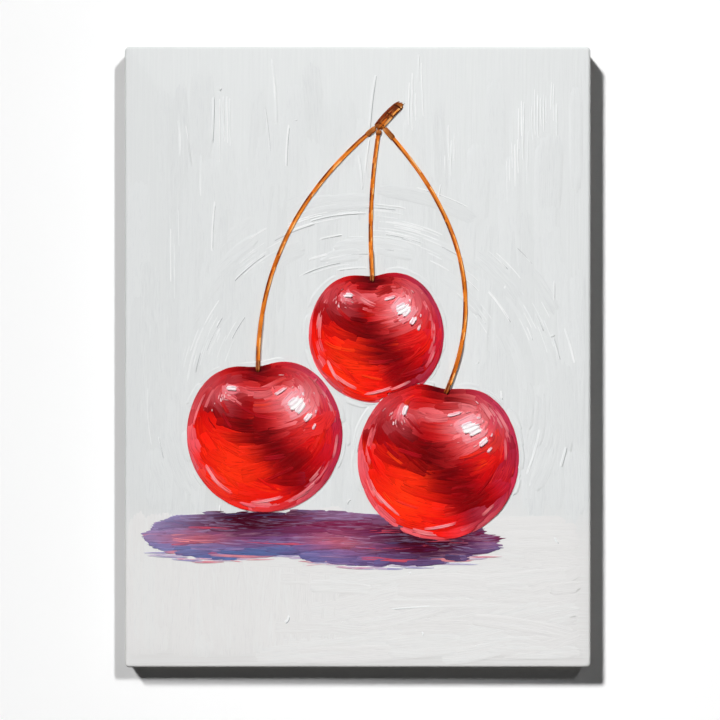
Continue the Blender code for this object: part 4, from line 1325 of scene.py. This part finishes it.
stageLook = {
    "wall": "#FFFFFF", "floor": "#E9E9E7", "floorZ": -0.85, "wallY": 0.0006, "half": 3.0, "floorHalf": 30,
}
lampLook = {
    "key": {
        "from": (-0.50, -1.0, 0.655), "reach": 18.0, "size": 2.2, "power": 4150,
        "flag": -0.131, "share": 0.210,
    },
    "second": {
        "from": (0.43, -1.0, 0.48), "reach": 18.0, "size": 2.2, "power": 3650,
        "flag": -0.150, "share": 0.247,
    },
    "right": {"from": (1.0, 0.26, 0.2), "reach": 3.0, "size": 1.2, "power": 34},
    "left": {"from": (-1.0, 0.26, 0.1), "reach": 3.0, "size": 1.2, "power": 14},
    "backLeft": {"from": (-0.35, 1.0, 0.7), "reach": 3.0, "size": 1.0, "power": 54},
    "backRight": {"from": (0.5, 1.0, 0.3), "reach": 3.0, "size": 1.4, "power": 18},
}
# the two main lamps cross: a black flag holds each one back from its own side of the wall, with a soft edge
flagLook = {"wide": 6.0, "low": -0.8, "high": 6.5, "shade": (0.01, 0.01, 0.01, 1)}
worldLook = {"seen": 0.85, "lit": 0.045}
cameraLook = {"lens": 135, "sensor": 36, "aside": 0.0015, "below": 0.0019, "fieldWidth": 0.4648}


def stagePlane(name, corners, material, *unseen):
    # unseen names the kinds of ray that pass the plane by
    mesh = bpy.data.meshes.new(name)
    mesh.from_pydata(corners, [], [tuple(range(4))])
    mesh.materials.append(material)
    plane = bpy.data.objects.new(name, mesh)
    bpy.context.scene.collection.objects.link(plane)
    for kind in unseen:
        setattr(plane, f"visible_{kind}", False)


def wallMaterial():
    # the wall shows only from its front, so that the panel's back can be looked at
    maker = newMaterial("white wall")
    material = feed(maker, BaseColor=(*hexColour(stageLook["wall"]), 1), Roughness=0.95, SpecularIORLevel=0.1)
    behind = maker.add("ShaderNodeNewGeometry", output=6)
    clear = maker.add("ShaderNodeBsdfTransparent")
    painted = Wire(maker, maker.shader.outputs[0])
    mixed = maker.add("ShaderNodeMixShader", None, {0: behind, 1: painted, 2: clear})
    output = material.node_tree.nodes["Material Output"]
    maker.tree.links.new(mixed.socket, output.inputs["Surface"])
    return material


def floorMaterial():
    return feed(newMaterial("pale floor"), BaseColor=(0, 0, 0, 1), Roughness=1.0, EmissionStrength=1.0,
                EmissionColor=(*hexColour(stageLook["floor"]), 1), SpecularIORLevel=0)


half, wallY, floorZ, floorHalf = (stageLook[key] for key in ("half", "wallY", "floorZ", "floorHalf"))
stagePlane("wall", [(-half, wallY, floorZ), (half, wallY, floorZ), (half, wallY, half), (-half, wallY, half)],
           wallMaterial(), "shadow", "diffuse", "glossy")
# no light is thrown up from the floor into the shadow
stagePlane("floor", [(x * floorHalf, y * floorHalf, floorZ) for x, y in ((-1, -1), (1, -1), (1, 1), (-1, 1))],
           floorMaterial(), "diffuse")
black = feed(newMaterial("black flag cloth"), BaseColor=flagLook["shade"], SpecularIORLevel=0)
aim = Vector((0, 0, panel["centreZ"]))
for lampName, look in lampLook.items():
    lamp = bpy.data.lights.new(lampName, "AREA")
    lamp.shape = "DISK"
    lamp.size = look["size"]
    lamp.energy = look["power"]
    reach = Vector(look["from"]).normalized() * look["reach"]
    holder = bpy.data.objects.new(lampName, lamp)
    holder.location = aim + reach
    holder.rotation_euler = (-reach).to_track_quat("-Z", "Y").to_euler()
    bpy.context.scene.collection.objects.link(holder)
    if "flag" in look:
        towards = reach * look["share"]
        edge = look["flag"] * (1 - look["share"]) + towards.x
        far = edge + math.copysign(flagLook["wide"], towards.x)
        corners = [(x, towards.y, flagLook[z])
                   for x, z in ((edge, "low"), (far, "low"), (far, "high"), (edge, "high"))]
        stagePlane(f"{lampName}Flag", corners, black, "camera", "glossy")
    else:
        # the fill lamps light the sides and the back, and throw nothing on to the wall
        lamp.cycles.max_bounces = 0

world = bpy.data.worlds.new("studio")
world.use_nodes = True
studio = NodeMaker(world.node_tree)
seen = studio.add("ShaderNodeLightPath", output=0)
strength = seen * (worldLook["seen"] - worldLook["lit"]) + worldLook["lit"]
background = world.node_tree.nodes["Background"]
studio.connect(background.inputs, {"Color": (1, 1, 1, 1), "Strength": strength})
bpy.context.scene.world = world
bpy.context.scene.view_settings.view_transform = "Standard"

cameraData = bpy.data.cameras.new("camera")
cameraData.lens = cameraLook["lens"]
cameraData.sensor_width = cameraLook["sensor"]
cameraData.clip_start = 0.05
camera = bpy.data.objects.new("camera", cameraData)
distance = cameraLook["lens"] * cameraLook["fieldWidth"] / cameraLook["sensor"]
camera.location = (
    cameraLook["aside"], panel["clothFront"] - distance, panel["centreZ"] - cameraLook["below"])
camera.rotation_euler = (math.pi / 2, 0, 0)
bpy.context.scene.collection.objects.link(camera)
bpy.context.scene.camera = camera
print("lit and framed")
